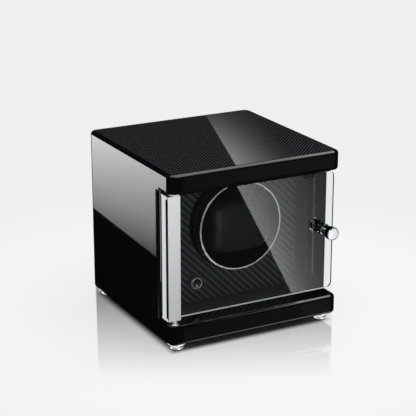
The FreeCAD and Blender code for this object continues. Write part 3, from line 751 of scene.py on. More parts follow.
def screw_recipe() -> Recipe:
    """Tree that cuts a cross recess, of two arms, in a screw and sets one at each point."""
    recipe = Recipe("cross_head_screws")
    plain = recipe.given("Pattern", "Object")
    arms = recipe.given("Arm", "Vector"), recipe.given("Crossing", "Vector")
    top = recipe.given("Top", "Vector")
    screw = recipe.step("ObjectInfo", {"Object": plain}, "Geometry")
    bars = recipe.node("GeometryNodeJoinGeometry")
    for size in arms:
        bar = recipe.step("MeshCube", {"Size": size})
        recipe.put(bars.inputs[0], recipe.step("Transform", {"Geometry": bar, "Translation": top}))
    sockets = {"Mesh 1": screw, "Mesh 2": recipe.out(bars), "Self Intersection": True}
    cut = recipe.step("MeshBoolean", sockets, operation="DIFFERENCE")
    return recipe.copies(recipe.geometry, cut)


def repeat_recipe() -> Recipe:
    """Tree that sets one copy of a piece at each point."""
    recipe = Recipe("repeated_piece")
    single = recipe.step("ObjectInfo", {"Object": recipe.given("Pattern", "Object")}, "Geometry")
    return recipe.copies(recipe.geometry, single)


def stitch_recipe() -> Recipe:
    """Tree that lays stitches of one pitch, length and thickness along a path."""
    recipe = Recipe("stitch_run")
    pitch, length, thick = (recipe.given(name, "Float") for name in ("Pitch", "Length", "Thickness"))
    path = recipe.step("MeshToCurve", {0: recipe.geometry})
    spaced = recipe.step("ResampleCurve", {"Curve": path, "Length": pitch}, mode="LENGTH")
    bead = recipe.step("MeshUVSphere", {"Segments": 6, "Rings": 4, "Radius": 0.5})
    shaped = recipe.step("Transform", {"Geometry": bead, "Scale": recipe.joined(thick, thick, length)})
    tangent = recipe.step("InputTangent")
    aligned = recipe.field("FunctionNodeAlignEulerToVector", {"Vector": tangent}, axis="Z")
    return recipe.copies(spaced, shaped, Rotation=aligned)


def eased(*corners: Point, steps: int = 5) -> list[Vector]:
    """Rounds a profile's corners.

    Args:
        corners: radius, place along the axis and rounding of each corner, in millimetres.
        steps: points that a rounded corner gets.

    Returns:
        The profile's points, in metres.
    """
    points: list[Vector] = []
    for number, (radius, along, rounding) in enumerate(corners):
        here = Vector((radius, along, 0.0))
        if rounding == 0 or number in (0, len(corners) - 1):
            points.append(here * MM)
            continue
        before = Vector((*corners[number - 1][:2], 0.0)) - here
        after = Vector((*corners[number + 1][:2], 0.0)) - here
        start = here + before * min(0.49, rounding / before.length)
        end = here + after * min(0.49, rounding / after.length)
        for step in range(steps + 1):
            share = step / steps
            points.append(start.lerp(here, share).lerp(here.lerp(end, share), share) * MM)
    return points


class Axis(Enum):
    """Way that a turned piece's axis points, as the turn that brings it there from up."""

    UP = (0.0, 0.0, 0.0)
    BACK = (-math.pi / 2, 0.0, 0.0)


class Bench:
    """Makes pieces and gives each its finish, its body and the CAD node that it stands for."""

    def __init__(self, record: dict[str, Any]) -> None:
        """Reads which finish and body every CAD node has."""
        self.slots = {row["node"]: row["material_slot"] for row in record["subparts"]}
        self.bodies = {node: body for body, nodes in record["behaviour"]["bodies"].items() for node in nodes}
        self.turning = turning_recipe()
        self.screwing = screw_recipe()
        self.repeating = repeat_recipe()
        self.stitching = stitch_recipe()

    def finish_of(self, node: str) -> Finish:
        """Gives the finish of a CAD node: its own, or its slot's."""
        return NODE_FINISHES.get(node) or FINISHES[self.slots[node]]

    @staticmethod
    def dress(piece: Piece, finish: Finish, body: str, slot: str) -> Piece:
        """Gives a new piece its place in the part.

        Args:
            piece: the finished piece.
            finish: its finish.
            body: the body that it rides on.
            slot: not used.

        Returns:
            The piece.
        """
        piece.data.materials.clear()
        piece.data.materials.append(finish.material())
        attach(piece, body)
        log.info("%s rides on %s", piece.name, body)
        return piece

    def stand_in(self, piece: Piece, node: str) -> None:
        """Lets a finished piece stand for a CAD node."""
        self.dress(piece, self.finish_of(node), self.bodies[node], self.slots[node])
        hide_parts(node)
        log.info("%s stands for %s", piece.name, node)

    def turned(self, name: str, profile: Sequence[Vector], centre: Vector, axis: Axis, sides: int) -> Piece:
        """Turns a profile about an axis through a point.

        Args:
            name: name of the new piece.
            profile: radius and place along the axis, in metres.
            centre: point that the places are counted from.
            axis: way that the axis points.
            sides: number of facets round it.

        Returns:
            The shaded piece.
        """
        return shade(self.turning.run(name, profile, Sides=sides, Centre=tuple(centre), Turn=axis.value))

    def turn_for(self, node: str, profile: Sequence[Vector], axis: Axis = Axis.BACK, sides: int = 96) -> None:
        """Turns a profile about a CAD node's middle, to stand for the node."""
        middle = self.middle(node)
        centre = Vector((middle.x, middle.y, 0.0) if axis is Axis.UP else (middle.x, 0.0, middle.z))
        self.stand_in(self.turned(f"{node}_turned", profile, centre, axis, sides), node)

    def set_out(self, node: str, name: str, recipe: Recipe, points: Sequence[Vector], pattern: Piece,
                **values: Any) -> None:
        """Sets a pattern piece at each point, to stand for a CAD node, and throws the pattern away.

        Args:
            node: the node that holds all the copies.
            name: name of the new piece.
            recipe: the tree that sets them out.
            points: their places.
            pattern: the piece that is copied.
            values: more of the tree's inputs, by name.
        """
        piece = recipe.run(name, points, Pattern=pattern, **values)
        bpy.data.objects.remove(pattern)
        self.stand_in(shade(piece), node)

    def copied(self, **bevels: float) -> None:
        """Makes a welded and smoothly shaded copy of each CAD node, with edges broken by so many millimetres."""
        for node, bevel in bevels.items():
            shell = self.welded(node)
            bmesh.ops.dissolve_limit(shell, angle_limit=FLAT_ANGLE, verts=shell.verts, edges=shell.edges)
            piece = self.from_shell(shell, f"{node}_finished")
            if bevel:
                modified(piece, "BEVEL", width=bevel * MM, segments=3, limit_method="ANGLE",
                         angle_limit=SMOOTH_ANGLE)
            shade(piece, outward=False)
            modified(piece, "WEIGHTED_NORMAL", keep_sharp=True, weight=90)
            self.stand_in(piece, node)

    @staticmethod
    def welded(node: str) -> BMesh:
        """Gives a CAD node's mesh with its faces joined."""
        shell = bmesh.new()
        shell.from_mesh(frame["nodes"][node].data)
        bmesh.ops.remove_doubles(shell, verts=shell.verts, dist=MERGE_GAP)
        return shell

    @staticmethod
    def from_shell(shell: BMesh, name: str) -> Piece:
        """Makes an object of a shell and frees the shell."""
        mesh = bpy.data.meshes.new(name)
        shell.to_mesh(mesh)
        shell.free()
        return linked(bpy.data.objects.new(name, mesh))

    def repaint(self, node: str) -> None:
        """Gives a CAD node that stays as it is its finish."""
        mesh = frame["nodes"][node].data
        mesh.materials.clear()
        mesh.materials.append(self.finish_of(node).material())
        log.info("%s keeps its solid", node)

    @staticmethod
    def middle(node: str) -> Vector:
        """Gives the middle of a CAD node's box."""
        low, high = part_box(node)
        return (low + high) / 2


@dataclass
class Assembly:
    """Base of the sub-assemblies, which share a bench."""

    bench: Bench

    def build(self) -> None:
        """Builds every piece."""
        raise NotImplementedError


@dataclass
class Cabinet(Assembly):
    """Case panels, inlaid sheet, back and its screws."""

    head: float = 2.9
    head_height: float = 0.95
    length: float = 16.0
    point: float = 1.5
    shank: float = 1.5
    recess: Point = (0.9 * MM, 1.2 * MM, 3.2 * MM)

    def build(self) -> None:
        """Builds every piece of the case."""
        self.bench.copied(top_panel=0.0, base_panel=0.0, left_side_panel=0.0, right_side_panel=0.0,
                          carbon_top_sheet=0.12, back_panel=0.3, carbon_fascia=0.25)
        self.bench.repaint("fascia_cleats")
        self.screws()

    def screws(self) -> None:
        """Pan-head screws that hold the back."""
        low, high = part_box("back_panel_screws")
        top = high.y / MM
        seat = top - self.head_height
        tip = seat - self.length
        inset = self.head * MM
        points = [Vector((x, 0.0, z)) for x in (low.x + inset, high.x - inset)
                  for z in (low.z + inset, high.z - inset)]
        profile = eased((0, tip, 0), (self.shank, tip + self.point, 0.2), (self.shank, seat, 0),
                        (self.head, seat, 0.1), (self.head, seat + self.head_height, 0.6),
                        (0, seat + self.head_height, 0))
        pattern = self.bench.turned("back_screw_pattern", profile, Vector(), Axis.BACK, 28)
        self.bench.set_out("back_panel_screws", "back_screws", self.bench.screwing, points, pattern,
                           Arm=self.recess, Crossing=self.recess[::-1], Top=(0.0, high.y, 0.0))


@dataclass
class Feet(Assembly):
    """Turned feet with soft pads."""

    stud: float = 2.0
    stud_length: float = 9.0
    lip: float = 1.4
    top: float = 8.5
    waist: float = 3.6
    low: float = 5.5
    height: float = 6.3
    pad: float = 4.9
    pad_height: float = 1.2

    def build(self) -> None:
        """Builds the four feet and their pads."""
        nodes = [f"foot_{end}_{side}" for end in ("front", "rear") for side in ("left", "right")]
        for node in nodes:
            _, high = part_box(node)
            tip = high.z / MM
            seat = tip - self.stud_length
            foot = seat - self.height
            self.bench.turn_for(node, eased(
                (0, seat + self.stud_length, 0), (self.stud, seat + self.stud_length, 0.4), (self.stud, seat, 0),
                (self.top, seat, 0.45), (self.top, seat - self.lip, 0.5), (self.low + 0.5, seat - self.waist, 0.8),
                (self.low, foot + self.lip, 0.6), (self.low, foot, 0.4), (0, foot, 0)), Axis.UP)
        places = [Vector((*self.bench.middle(node).xy, 0.0)) for node in nodes]
        profile = eased((0, 0, 0), (self.pad, 0, 0.3), (self.pad, self.pad_height, 0.1), (0, self.pad_height, 0))
        pattern = self.bench.turned("pad_pattern", profile, Vector(), Axis.UP, 40)
        self.bench.set_out("foot_pads", "foot_pad_set", self.bench.repeating, places, pattern)


@dataclass
class Door(Assembly):
    """Clear pane, bright hinge side, pivots, knob and catch."""

    flange: float = 5.3
    flange_depth: float = 1.4
    body: float = 4.7
    body_front: float = 7.1
    grooves: int = 4
    groove: float = 4.0
    neck: float = 3.4
    head: float = 6.15
    head_depth: float = 5.9

    def build(self) -> None:
        """Builds every piece of the door and what it meets on the case."""
        self.bench.copied(door_pane=0.3, hinge_cover_strip=0.2, hinge_stile=0.3)
        for side in ("lower", "upper"):
            self.bench.copied(**{f"{side}_pivot_plate": 0.2, f"{side}_pivot_pin": 0.0, f"{side}_pivot_bush": 0.0})
        self.knob()
        self.bench.copied(knob_screw=0.2, strike_plate=0.15, catch_housing=0.4, catch_magnet=0.15)

    def knob(self) -> None:
        """Turned knob with a grooved body and a broad head."""
        low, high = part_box("door_knob")
        front, back = low.y / MM, high.y / MM
        body_back, body_front = back - self.flange_depth, front + self.body_front
        neck_front = front + self.head_depth
        corners: list[Point] = [(0, back, 0), (self.flange, back, 0.15), (self.flange, body_back, 0.3),
                                (self.body, body_back, 0)]
        pitch = (body_back - body_front) / self.grooves
        for number in range(self.grooves):
            start = body_back - number * pitch
            corners += [(self.groove, start - 0.25 * pitch, 0.3), (self.body, start - 0.5 * pitch, 0.25),
                        (self.body, start - pitch, 0.25)]
        corners += [(self.neck, body_front, 0.2), (self.neck, neck_front, 0.2), (self.head, neck_front, 0.4),
                    (self.head, front + 0.9, 0.9), (5.2, front, 0.6), (0, front, 0)]
        self.bench.turn_for("door_knob", eased(*corners))


@dataclass
class Rotor(Assembly):
    """Drum with its bright ring, shaft, gear and pillow socket."""

    outer: float = 41.0
    inner: float = 38.8
    depth: float = 51.6
    floor: float = 3.0
    hub: float = 10.0
    bore: float = 3.0

    def build(self) -> None:
        """Builds every piece that turns with the drum."""
        self.drum()
        self.ring()
        self.bench.copied(rotor_shaft=0.0, drive_gear=0.12, retaining_clip=0.1, pillow_socket=0.4)

    def drum(self) -> None:
        """Gloss drum with a flat floor and a hub behind it."""
        low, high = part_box("rotor_drum")
        front, hub = low.y / MM, high.y / MM
        floor = front + self.depth
        back = floor + self.floor
        self.bench.turn_for("rotor_drum", eased(
            (self.bore, floor, 0), (self.inner - 1.0, floor, 0.6), (self.inner, floor - 1.0, 0.6),
            (self.inner, front, 0), (self.outer, front, 0), (self.outer, back - 1.0, 0.5),
            (self.outer - 1.0, back, 0.5), (self.hub, back, 0.4), (self.hub, hub, 0.4), (self.bore, hub, 0),
            (self.bore, floor, 0)), sides=128)

    def ring(self) -> None:
        """Bright ring with a flat lip and a groove behind it."""
        low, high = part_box("rotor_ring")
        lip, skirt = low.y / MM, high.y / MM
        outer = (high.x - low.x) / 2 / MM
        seat = lip + 1.9
        groove = outer - 0.7
        self.bench.turn_for("rotor_ring", eased(
            (self.inner, seat, 0), (self.inner + 0.9, lip, 0.1), (outer - 1.1, lip, 0.3), (outer, lip + 2.2, 0.2),
            (groove, lip + 2.9, 0.2), (groove, skirt - 2.2, 0.1), (outer, skirt - 2.2, 0.5), (outer, skirt, 0.4),
            (self.outer, skirt, 0), (self.outer, seat, 0), (self.inner, seat, 0)), sides=160)


@dataclass
class Pillow(Assembly):
    """Stuffed pillow on its moulded back."""

    voxel: float = 1.8
    shrink: float = 0.975
    relaxing: int = 6
    pressure: float = 4.0
    point_mass: float = 0.0015
    swell: float = 1.3
    frames: int = 20
    clearance: float = 0.05
    seam_inset: float = 4.2
    stitch_pitch: float = 2.6
    stitch_length: float = 1.9
    stitch_thickness: float = 0.42

    def build(self) -> None:
        """Builds the pillow, its seams and its back."""
        cushion = self.stuffed()
        for name, side in (("left", -1), ("right", 1)):
            self.seam(cushion, name, side)
        self.bench.stand_in(cushion, "pillow_cushion")
        self.bench.copied(pillow_core=0.4)

    def stuffed(self) -> Piece:
        """Swells a remeshed copy of the solid by cloth simulation."""
        middle = self.bench.middle("pillow_cushion")
        _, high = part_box("pillow_cushion")
        shell = self.bench.welded("pillow_cushion")
        for vertex in shell.verts:
            offset = (vertex.co - middle) * self.shrink
            vertex.co = middle + offset
        piece = Bench.from_shell(shell, "pillow_stuffed")
        modified(piece, "REMESH", mode="VOXEL", voxel_size=self.voxel * MM)
        modified(piece, "SMOOTH", iterations=self.relaxing)
        self.inflate(piece)
        for vertex in piece.data.vertices:
            vertex.co.y = min(vertex.co.y, high.y - self.clearance * MM)
        return shade(modified(piece, "SUBSURF", levels=1, render_levels=1))

    def inflate(self, piece: Piece) -> None:
        """Runs the cloth under pressure and keeps each point within the swell."""
        before = [vertex.co.copy() for vertex in piece.data.vertices]
        cloth = piece.modifiers.new("stuffing", "CLOTH")
        cloth.settings.use_pressure = True
        cloth.settings.uniform_pressure_force = self.pressure
        cloth.settings.mass = self.point_mass
        cloth.settings.effector_weights.gravity = 0.0
        cloth.point_cache.frame_start = 1
        cloth.point_cache.frame_end = self.frames
        scene = bpy.context.scene
        for number in range(1, self.frames + 1):
            scene.frame_set(number)
        settle(piece)
        scene.frame_set(1)
        furthest = 0.0
        for vertex, start in zip(piece.data.vertices, before):
            step = vertex.co - start
            furthest = max(furthest, step.length)
            if step.length > self.swell * MM:
                vertex.co = start + step.normalized() * self.swell * MM
        log.info("pillow swelled by up to %.2f mm before the cap", furthest / MM)

    def seam(self, cushion: Piece, name: str, side: int) -> None:
        """Lays stitches round one end of the pillow.

        Args:
            cushion: the stuffed pillow.
            name: which end, for the piece's name.
            side: -1 for the left end and 1 for the right.
        """
        low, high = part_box("pillow_cushion")
        place = (high.x if side > 0 else low.x) - side * self.seam_inset * MM
        shell = bmesh.new()
        shell.from_mesh(cushion.data)
        cut = bmesh.ops.bisect_plane(shell, geom=[*shell.verts, *shell.edges, *shell.faces],
                                     plane_co=(place, 0, 0), plane_no=(1, 0, 0))
        ring = [item for item in cut["geom_cut"] if isinstance(item, BMVert)]
        centre = sum((vertex.co for vertex in ring), Vector()) / len(ring)
        ring.sort(key=lambda vertex: math.atan2(vertex.co.z - centre.z, vertex.co.y - centre.y))
        points = [vertex.co + (centre - vertex.co).normalized() * self.clearance * MM for vertex in ring]
        shell.free()
        piece = self.bench.stitching.run(
            f"pillow_stitches_{name}", points, closed=True, Pitch=self.stitch_pitch * MM,
            Length=self.stitch_length * MM, Thickness=self.stitch_thickness * MM)
        self.bench.dress(shade(piece), THREAD, "pillow", "leatherette")


@dataclass
class Drive(Assembly):
    """Drive plate, posts, bush, gear motor and pinion."""

    head_height: float = 2.0
    recess: Point = (0.8 * MM, 1.6 * MM, 3.0 * MM)

    def build(self) -> None:
        """Builds the drive behind the drum."""
        self.bench.copied(drive_plate=0.25, plate_posts=0.0, shaft_bush=0.0, motor_can=0.0, motor_gearbox=0.0,
                          motor_spindle=0.0, motor_pinion=0.08)
        self.screws()

    def screws(self) -> None:
        """Screws that hold the motor to the plate."""
        low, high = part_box("motor_screws")
        top, tip = low.y / MM, high.y / MM
        head = (high.z - low.z) / 2
        middle = (low.z + high.z) / 2
        points = [Vector((low.x + head, 0.0, middle)), Vector((high.x - head, 0.0, middle))]
        radius = head / MM
        seat = top + self.head_height
        profile = eased((0, top, 0), (radius, top, 0.9), (radius, seat, 0.1), (radius / 2, seat, 0),
                        (radius / 2, tip, 0.3), (0, tip, 0))
        pattern = self.bench.turned("motor_screw_pattern", profile, Vector(), Axis.BACK, 28)
        self.bench.set_out("motor_screws", "motor_screw_set", self.bench.screwing, points, pattern,
                           Arm=self.recess, Crossing=self.recess[::-1], Top=(0.0, low.y, 0.0))


@dataclass
class Controls(Assembly):
    """Selector, circuit board, power inlet and the leads inside."""

    lead: float = 3.0
    pointer: Point = (0.7, 1.0, 2.4)
    pointer_place: Span = (0.75, -2.6)
    pointer_edge: float = 0.12

    def build(self) -> None:
        """Builds the controls and electrics."""
        self.cord("power_lead", 105.6, (
            (50, 150, 36), (50, 132, 36), (30, 108, 21), (-1, 86.6, 29), (-1, 68.6, 29)))
        self.cord("motor_lead", 116.2, (
            (-45, 68.6, 29), (-45, 88.6, 29), (-37, 128.6, 21), (-12, 149, 33.05), (-6, 149, 45.05),
            (-6, 137, 45.05)))
        self.selector()
        self.bench.copied(selector_switch=0.2, selector_nut=0.2, selector_spindle=0.0, power_jack=0.2, jack_nut=0.2)
        self.bench.repaint("circuit_board")
        self.bench.copied(board_components=0.3)

    def selector(self) -> None:
        """Gloss knob with a fine rim and a pointer line."""
        low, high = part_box("selector_knob")
        front, skirt = low.y / MM, high.y / MM
        floor = front + 2.0
        hollow = skirt - 2.6
        self.bench.turn_for("selector_knob", eased(
            (0, floor, 0), (0, front + 0.34, 0), (4.5, front + 0.3, 0.1), (4.8, front, 0.15), (5.2, front, 0.3),
            (6.0, front + 0.9, 0.5), (6.0, skirt, 0.15), (5.3, skirt, 0.1), (5.3, hollow, 0.2), (2.0, hollow, 0),
            (2.0, floor, 0), (0, floor, 0)))
        middle = self.bench.middle("selector_knob")
        centre = Vector((middle.x, 0.0, middle.z))
        wide, deep, tall = self.pointer
        depth, drop = self.pointer_place
        shell = bmesh.new()
        bmesh.ops.create_cube(shell, size=1.0)
        for vertex in shell.verts:
            x, y, z = vertex.co
            vertex.co = centre + Vector((wide * x, front + depth + deep * y, drop + tall * z)) * MM
        bmesh.ops.bevel(shell, geom=shell.edges[:], offset=self.pointer_edge * MM, segments=2, affect="EDGES")
        pointer = Bench.from_shell(shell, "selector_pointer")
        self.bench.dress(shade(pointer), POINTER_WHITE, "selector", "drum_black")

    def cord(self, node: str, length: float, route: Iterable[Point]) -> None:
        """Makes one lead as a smooth cord along its route.

        Args:
            node: the CAD node that it stands for.
            length: not used.
            route: its control points, in millimetres of the case.
        """
        points = [case_point(*point) for point in route]
        curve = bpy.data.curves.new(f"{node}_cord", "CURVE")
        curve.dimensions = "3D"
        curve.bevel_depth = self.lead / 2 * MM
        curve.bevel_resolution = 4
        curve.resolution_u = 12
        curve.use_fill_caps = True
        spline = curve.splines.new("NURBS")
        spline.points.add(len(points) - 1)
        for control, point in zip(spline.points, points):
            control.co = (*point, 1.0)
        spline.order_u = 3
        spline.use_endpoint_u = True
        piece = linked(bpy.data.objects.new(f"{node}_cord", curve))
        self.bench.stand_in(piece, node)


@dataclass(frozen=True)
class Group:
    """Pieces that a stage light is kept for or from, by their finish or the start of their name."""

    finishes: tuple[Finish, ...] = ()
    prefixes: tuple[str, ...] = ()

    @staticmethod
    def named(name: str) -> Collection:
        """Gives a group's collection, made at the first call."""
        return bpy.data.collections.get(f"lit_{name}") or bpy.data.collections.new(f"lit_{name}")

    def gather(self, name: str, pieces: Iterable[Piece]) -> None:
        """Puts the pieces that belong to the group in its collection."""
        materials = {finish.material() for finish in self.finishes}
        for piece in pieces:
            if piece.name.startswith(self.prefixes) or materials.intersection(piece.data.materials[:1]):
                self.named(name).objects.link(piece)


GLINTING = (RING_METAL, KNOB_METAL, DOOR_KNOB_METAL)
BRIGHT_SLOTS = ("chrome", "brushed_aluminium", "steel", "brass")
GROUPS: dict[str, Group] = {
    "bright": Group((*(FINISHES[slot] for slot in BRIGHT_SLOTS), STRIP_METAL, *GLINTING)),
    "glinting": Group(GLINTING),
    "unfilled": Group((FINISHES["chrome"], RING_METAL),
                      ("top_panel", "base_panel", "right_side_panel", "door_pane")),
    **{start: Group(prefixes=(start,)) for start in
       ("door_knob", "foot_", "door_pane", "base_panel", "left_side_panel", "top_panel")},
}


def staged(thing: Piece, *rays: str) -> Piece:
    """Marks a piece as stage and hides it from kinds of rays."""
    for ray in rays:
        setattr(thing, f"visible_{ray}", False)
    thing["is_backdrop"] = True
    return thing


def aimed(thing: Piece, place: Point, aim: Point) -> Piece:
    """Puts a lamp or a camera in its place, facing a point."""
    thing.location = place
    thing.rotation_euler = (Vector(aim) - Vector(place)).to_track_quat("-Z", "Y").to_euler()
    return linked(thing)


@dataclass(frozen=True)
class Lamp:
    """Area lamp, kept for one group of pieces where it is named."""

    name: str
    place: Point
    power: float
    lit: str = ""
    aim: Point = (0.0, 0.0, 0.09)
    size: float = 0.4
    tall: float = 0.0
    mirrored: bool = True

    def build(self) -> None:
        """Hangs the lamp."""
        data = bpy.data.lights.new(self.name, "AREA")
        data.shape = "RECTANGLE"
        data.size = self.size
        data.size_y = self.tall or self.size
        data.energy = self.power
        lamp = aimed(bpy.data.objects.new(self.name, data), self.place, self.aim)
        lamp.visible_glossy = self.mirrored
        if self.lit:
            lamp.light_linking.receiver_collection = Group.named(self.lit)


FOOT_AIM = (-0.07, -0.07, 0.0)
LAMPS = (
    Lamp("softbox", (0.2, -0.15, 1.3), 16.0, aim=(0.0, 0.0, 0.08), size=1.2, mirrored=False),
    Lamp("front_fill", (-0.55, -1.5, 0.24), 10.0, "unfilled", tall=1.6),
    Lamp("glint_right", (0.95, -1.7, 0.62), 8.0, "glinting"),
    Lamp("glint_left", (-0.75, -1.4, 1.0), 16.0, "glinting"),
    Lamp("glint_low", (0.5, -1.18, -0.31), 2.0, "glinting"),
    Lamp("glint_under", (0.15, -1.17, -0.79), 16.0, "glinting"),
    Lamp("knob_light", (0.58, -1.14, -0.31), 2.0, "door_knob"),
    Lamp("foot_front", (0.287, -0.74, -0.25), 0.5, "foot_", FOOT_AIM),
    Lamp("foot_left", (-0.43, 0.6, -0.25), 0.5, "foot_", FOOT_AIM),
)


@dataclass(frozen=True)
class Card:
    """Studio card that a polished face mirrors towards the camera: its corners are given on that face."""

    name: str
    facing: Point | tuple[Point, Point, Point, Point]
    corners: tuple[Point, Point, Point, Point]
    glows: tuple[float, float, float, float]
    fade: float = 1.0
    lit: str = ""
    reach: ClassVar[float] = 1.5
    steps: ClassVar[int] = 16

    def build(self, eye: Vector) -> None:
        """Sets the card where its face mirrors it to the eye."""
        facings = self.facing if isinstance(self.facing[0], tuple) else (self.facing,) * 4
        spots = [self.mirrored(case_point(*corner), eye, Vector(facing))
                 for corner, facing in zip(self.corners, facings)]
        shell = bmesh.new()
        layer = shell.verts.layers.float.new("glow")
        shares = [step / self.steps for step in range(self.steps + 1)]
        rows = []
        for rise in shares:
            rows.append([])
            for side in shares:
                spot = spots[0].lerp(spots[1], side).lerp(spots[3].lerp(spots[2], side), rise)
                vertex = shell.verts.new(spot)
                left = (1 - side) ** self.fade
                low = self.glows[1] + (self.glows[0] - self.glows[1]) * left
                high = self.glows[2] + (self.glows[3] - self.glows[2]) * left
                vertex[layer] = low + (high - low) * rise
                rows[-1].append(vertex)
        for below, above in zip(rows, rows[1:]):
            for step in range(self.steps):
                shell.faces.new((below[step], below[step + 1], above[step + 1], above[step]))
        card = self.hang(Bench.from_shell(shell, f"card_{self.name}"))
        if self.lit:
            card.light_linking.receiver_collection = Group.named(self.lit)

    def mirrored(self, point: Vector, eye: Vector, normal: Vector) -> Vector:
        """Follows the sight line from the eye off the face to the card's plane."""
        ray = (point - eye).normalized().reflect(normal)
        return point + ray * (self.reach / ray.dot(normal))

    @staticmethod
    def hang(card: Piece) -> Piece:
        """Gives a card its glow and hides it from all but mirrors."""
        made = bpy.data.materials.get("card_glow") or painted("card_glow", Card.shader)
        made.cycles.emission_sampling = "NONE"
        card.data.materials.append(made)
        return staged(card, "camera", "diffuse", "shadow")

    @staticmethod
    def shader(paint: Paint) -> Field:
        """Light that follows the card's own glow, and nothing for a sight line that no face has turned."""
        light = paint.field("ShaderNodeEmission", {
            "Strength": paint.field("ShaderNodeAttribute", out="Fac", attribute_name="glow")})
        path = paint.node("ShaderNodeLightPath")
        turned = paint.out(path, "Ray Depth") - paint.out(path, "Transmission Depth") > 0.5
        return paint.blend(turned, paint.field("ShaderNodeBsdfTransparent"), light)


def tilted(degrees: float, turn: float = 0.0) -> Point:
    """Gives the normal of an edge's rounding at an angle forward from up, then turned to the left."""
    angle, side = math.radians(degrees), math.radians(turn)
    return (-math.sin(angle) * math.sin(side), -math.sin(angle) * math.cos(side), math.cos(angle))


LEFT, TOP, FRONT = (-1, 0, 0), (0, 0, 1), (0, -1, 0)
CARDS = (
    Card("left_light", LEFT, ((-85, 27.5, 75.3), (-85, 175, 81), (-85, 175, 137), (-85, 27.5, 137)),
         (0.22, 0.72, 2.0, 1.5)),
    Card("left_light_high", LEFT, ((-85, -6, 137), (-85, 175, 137), (-85, 175, 160), (-85, -6, 160)),
         (1.38, 2.0, 2.55, 1.85)),
    Card("top_light", TOP, ((-24, -8, 155), (38, -8, 155), (100, 175, 155), (40.3, 175, 155)),
         (0.97, 0.0, 0.0, 0.12), 2.0),
    Card("front_light", FRONT, ((42.5, 0, 20), (90, 0, 20), (90, 0, 137), (-18.4, 0, 137)),
         (1.85, 0.54, 0.26, 2.1), 2.7, "door_pane"),
    Card("front_dark", FRONT, ((-73, 0, -12), (59.1, 0, -12), (-30.4, 0, 160), (-73, 0, 160)),
         (0.03, 0.04, 0.04, 0.035)),
    Card("front_dark_low", FRONT, ((59.1, 0, -12), (100, 0, -12), (100, 0, 20), (42.5, 0, 20)), (0.07,) * 4),
    Card("edge_light", (tilted(20), tilted(10), tilted(33), tilted(44)),
         ((-90, 2, 154.8), (90, 2.5, 155), (90, 1.4, 154.5), (-90, 0.9, 154.2)), (0.3, 0.3, 2.6, 3.2)),
    Card("edge_light_front", (tilted(44), tilted(33), tilted(60), tilted(68)),
         ((-90, 0.9, 154.2), (90, 1.4, 154.5), (90, 0.4, 153.5), (-90, 0.2, 153.1)), (3.2, 2.6, 1.0, 1.2)),
    Card("low_edge_light", (tilted(98), tilted(98), tilted(120), tilted(120)),
         ((-90, 0, 2.6), (90, 0, 2.6), (90, 0.4, 1.5), (-90, 0.4, 1.5)), (1.0, 1.0, 0.6, 0.6),
         lit="base_panel"),
    Card("left_edge_light", (tilted(90, 82), tilted(90, 60), tilted(90, 60), tilted(90, 82)),
         ((-85, 23, 0), (-84, 22, 0), (-84, 22, 70), (-85, 23, 70)), (0.55, 0.55, 0.0, 0.0),
         lit="left_side_panel"),
    Card("edge_light_corner", (tilted(30, 50), tilted(20), tilted(68), tilted(60, 50)),
         ((-83, 2.5, 154.8), (-77, 2, 154.8), (-77, 0.2, 153.1), (-84, 2, 153.1)), (1.0, 1.6, 1.6, 1.0),
         lit="top_panel"),
    Card("front_dark_high", FRONT, ((-18.4, 0, 137), (100, 0, 137), (100, 0, 160), (-30.4, 0, 160)),
         (0.055,) * 4),
)


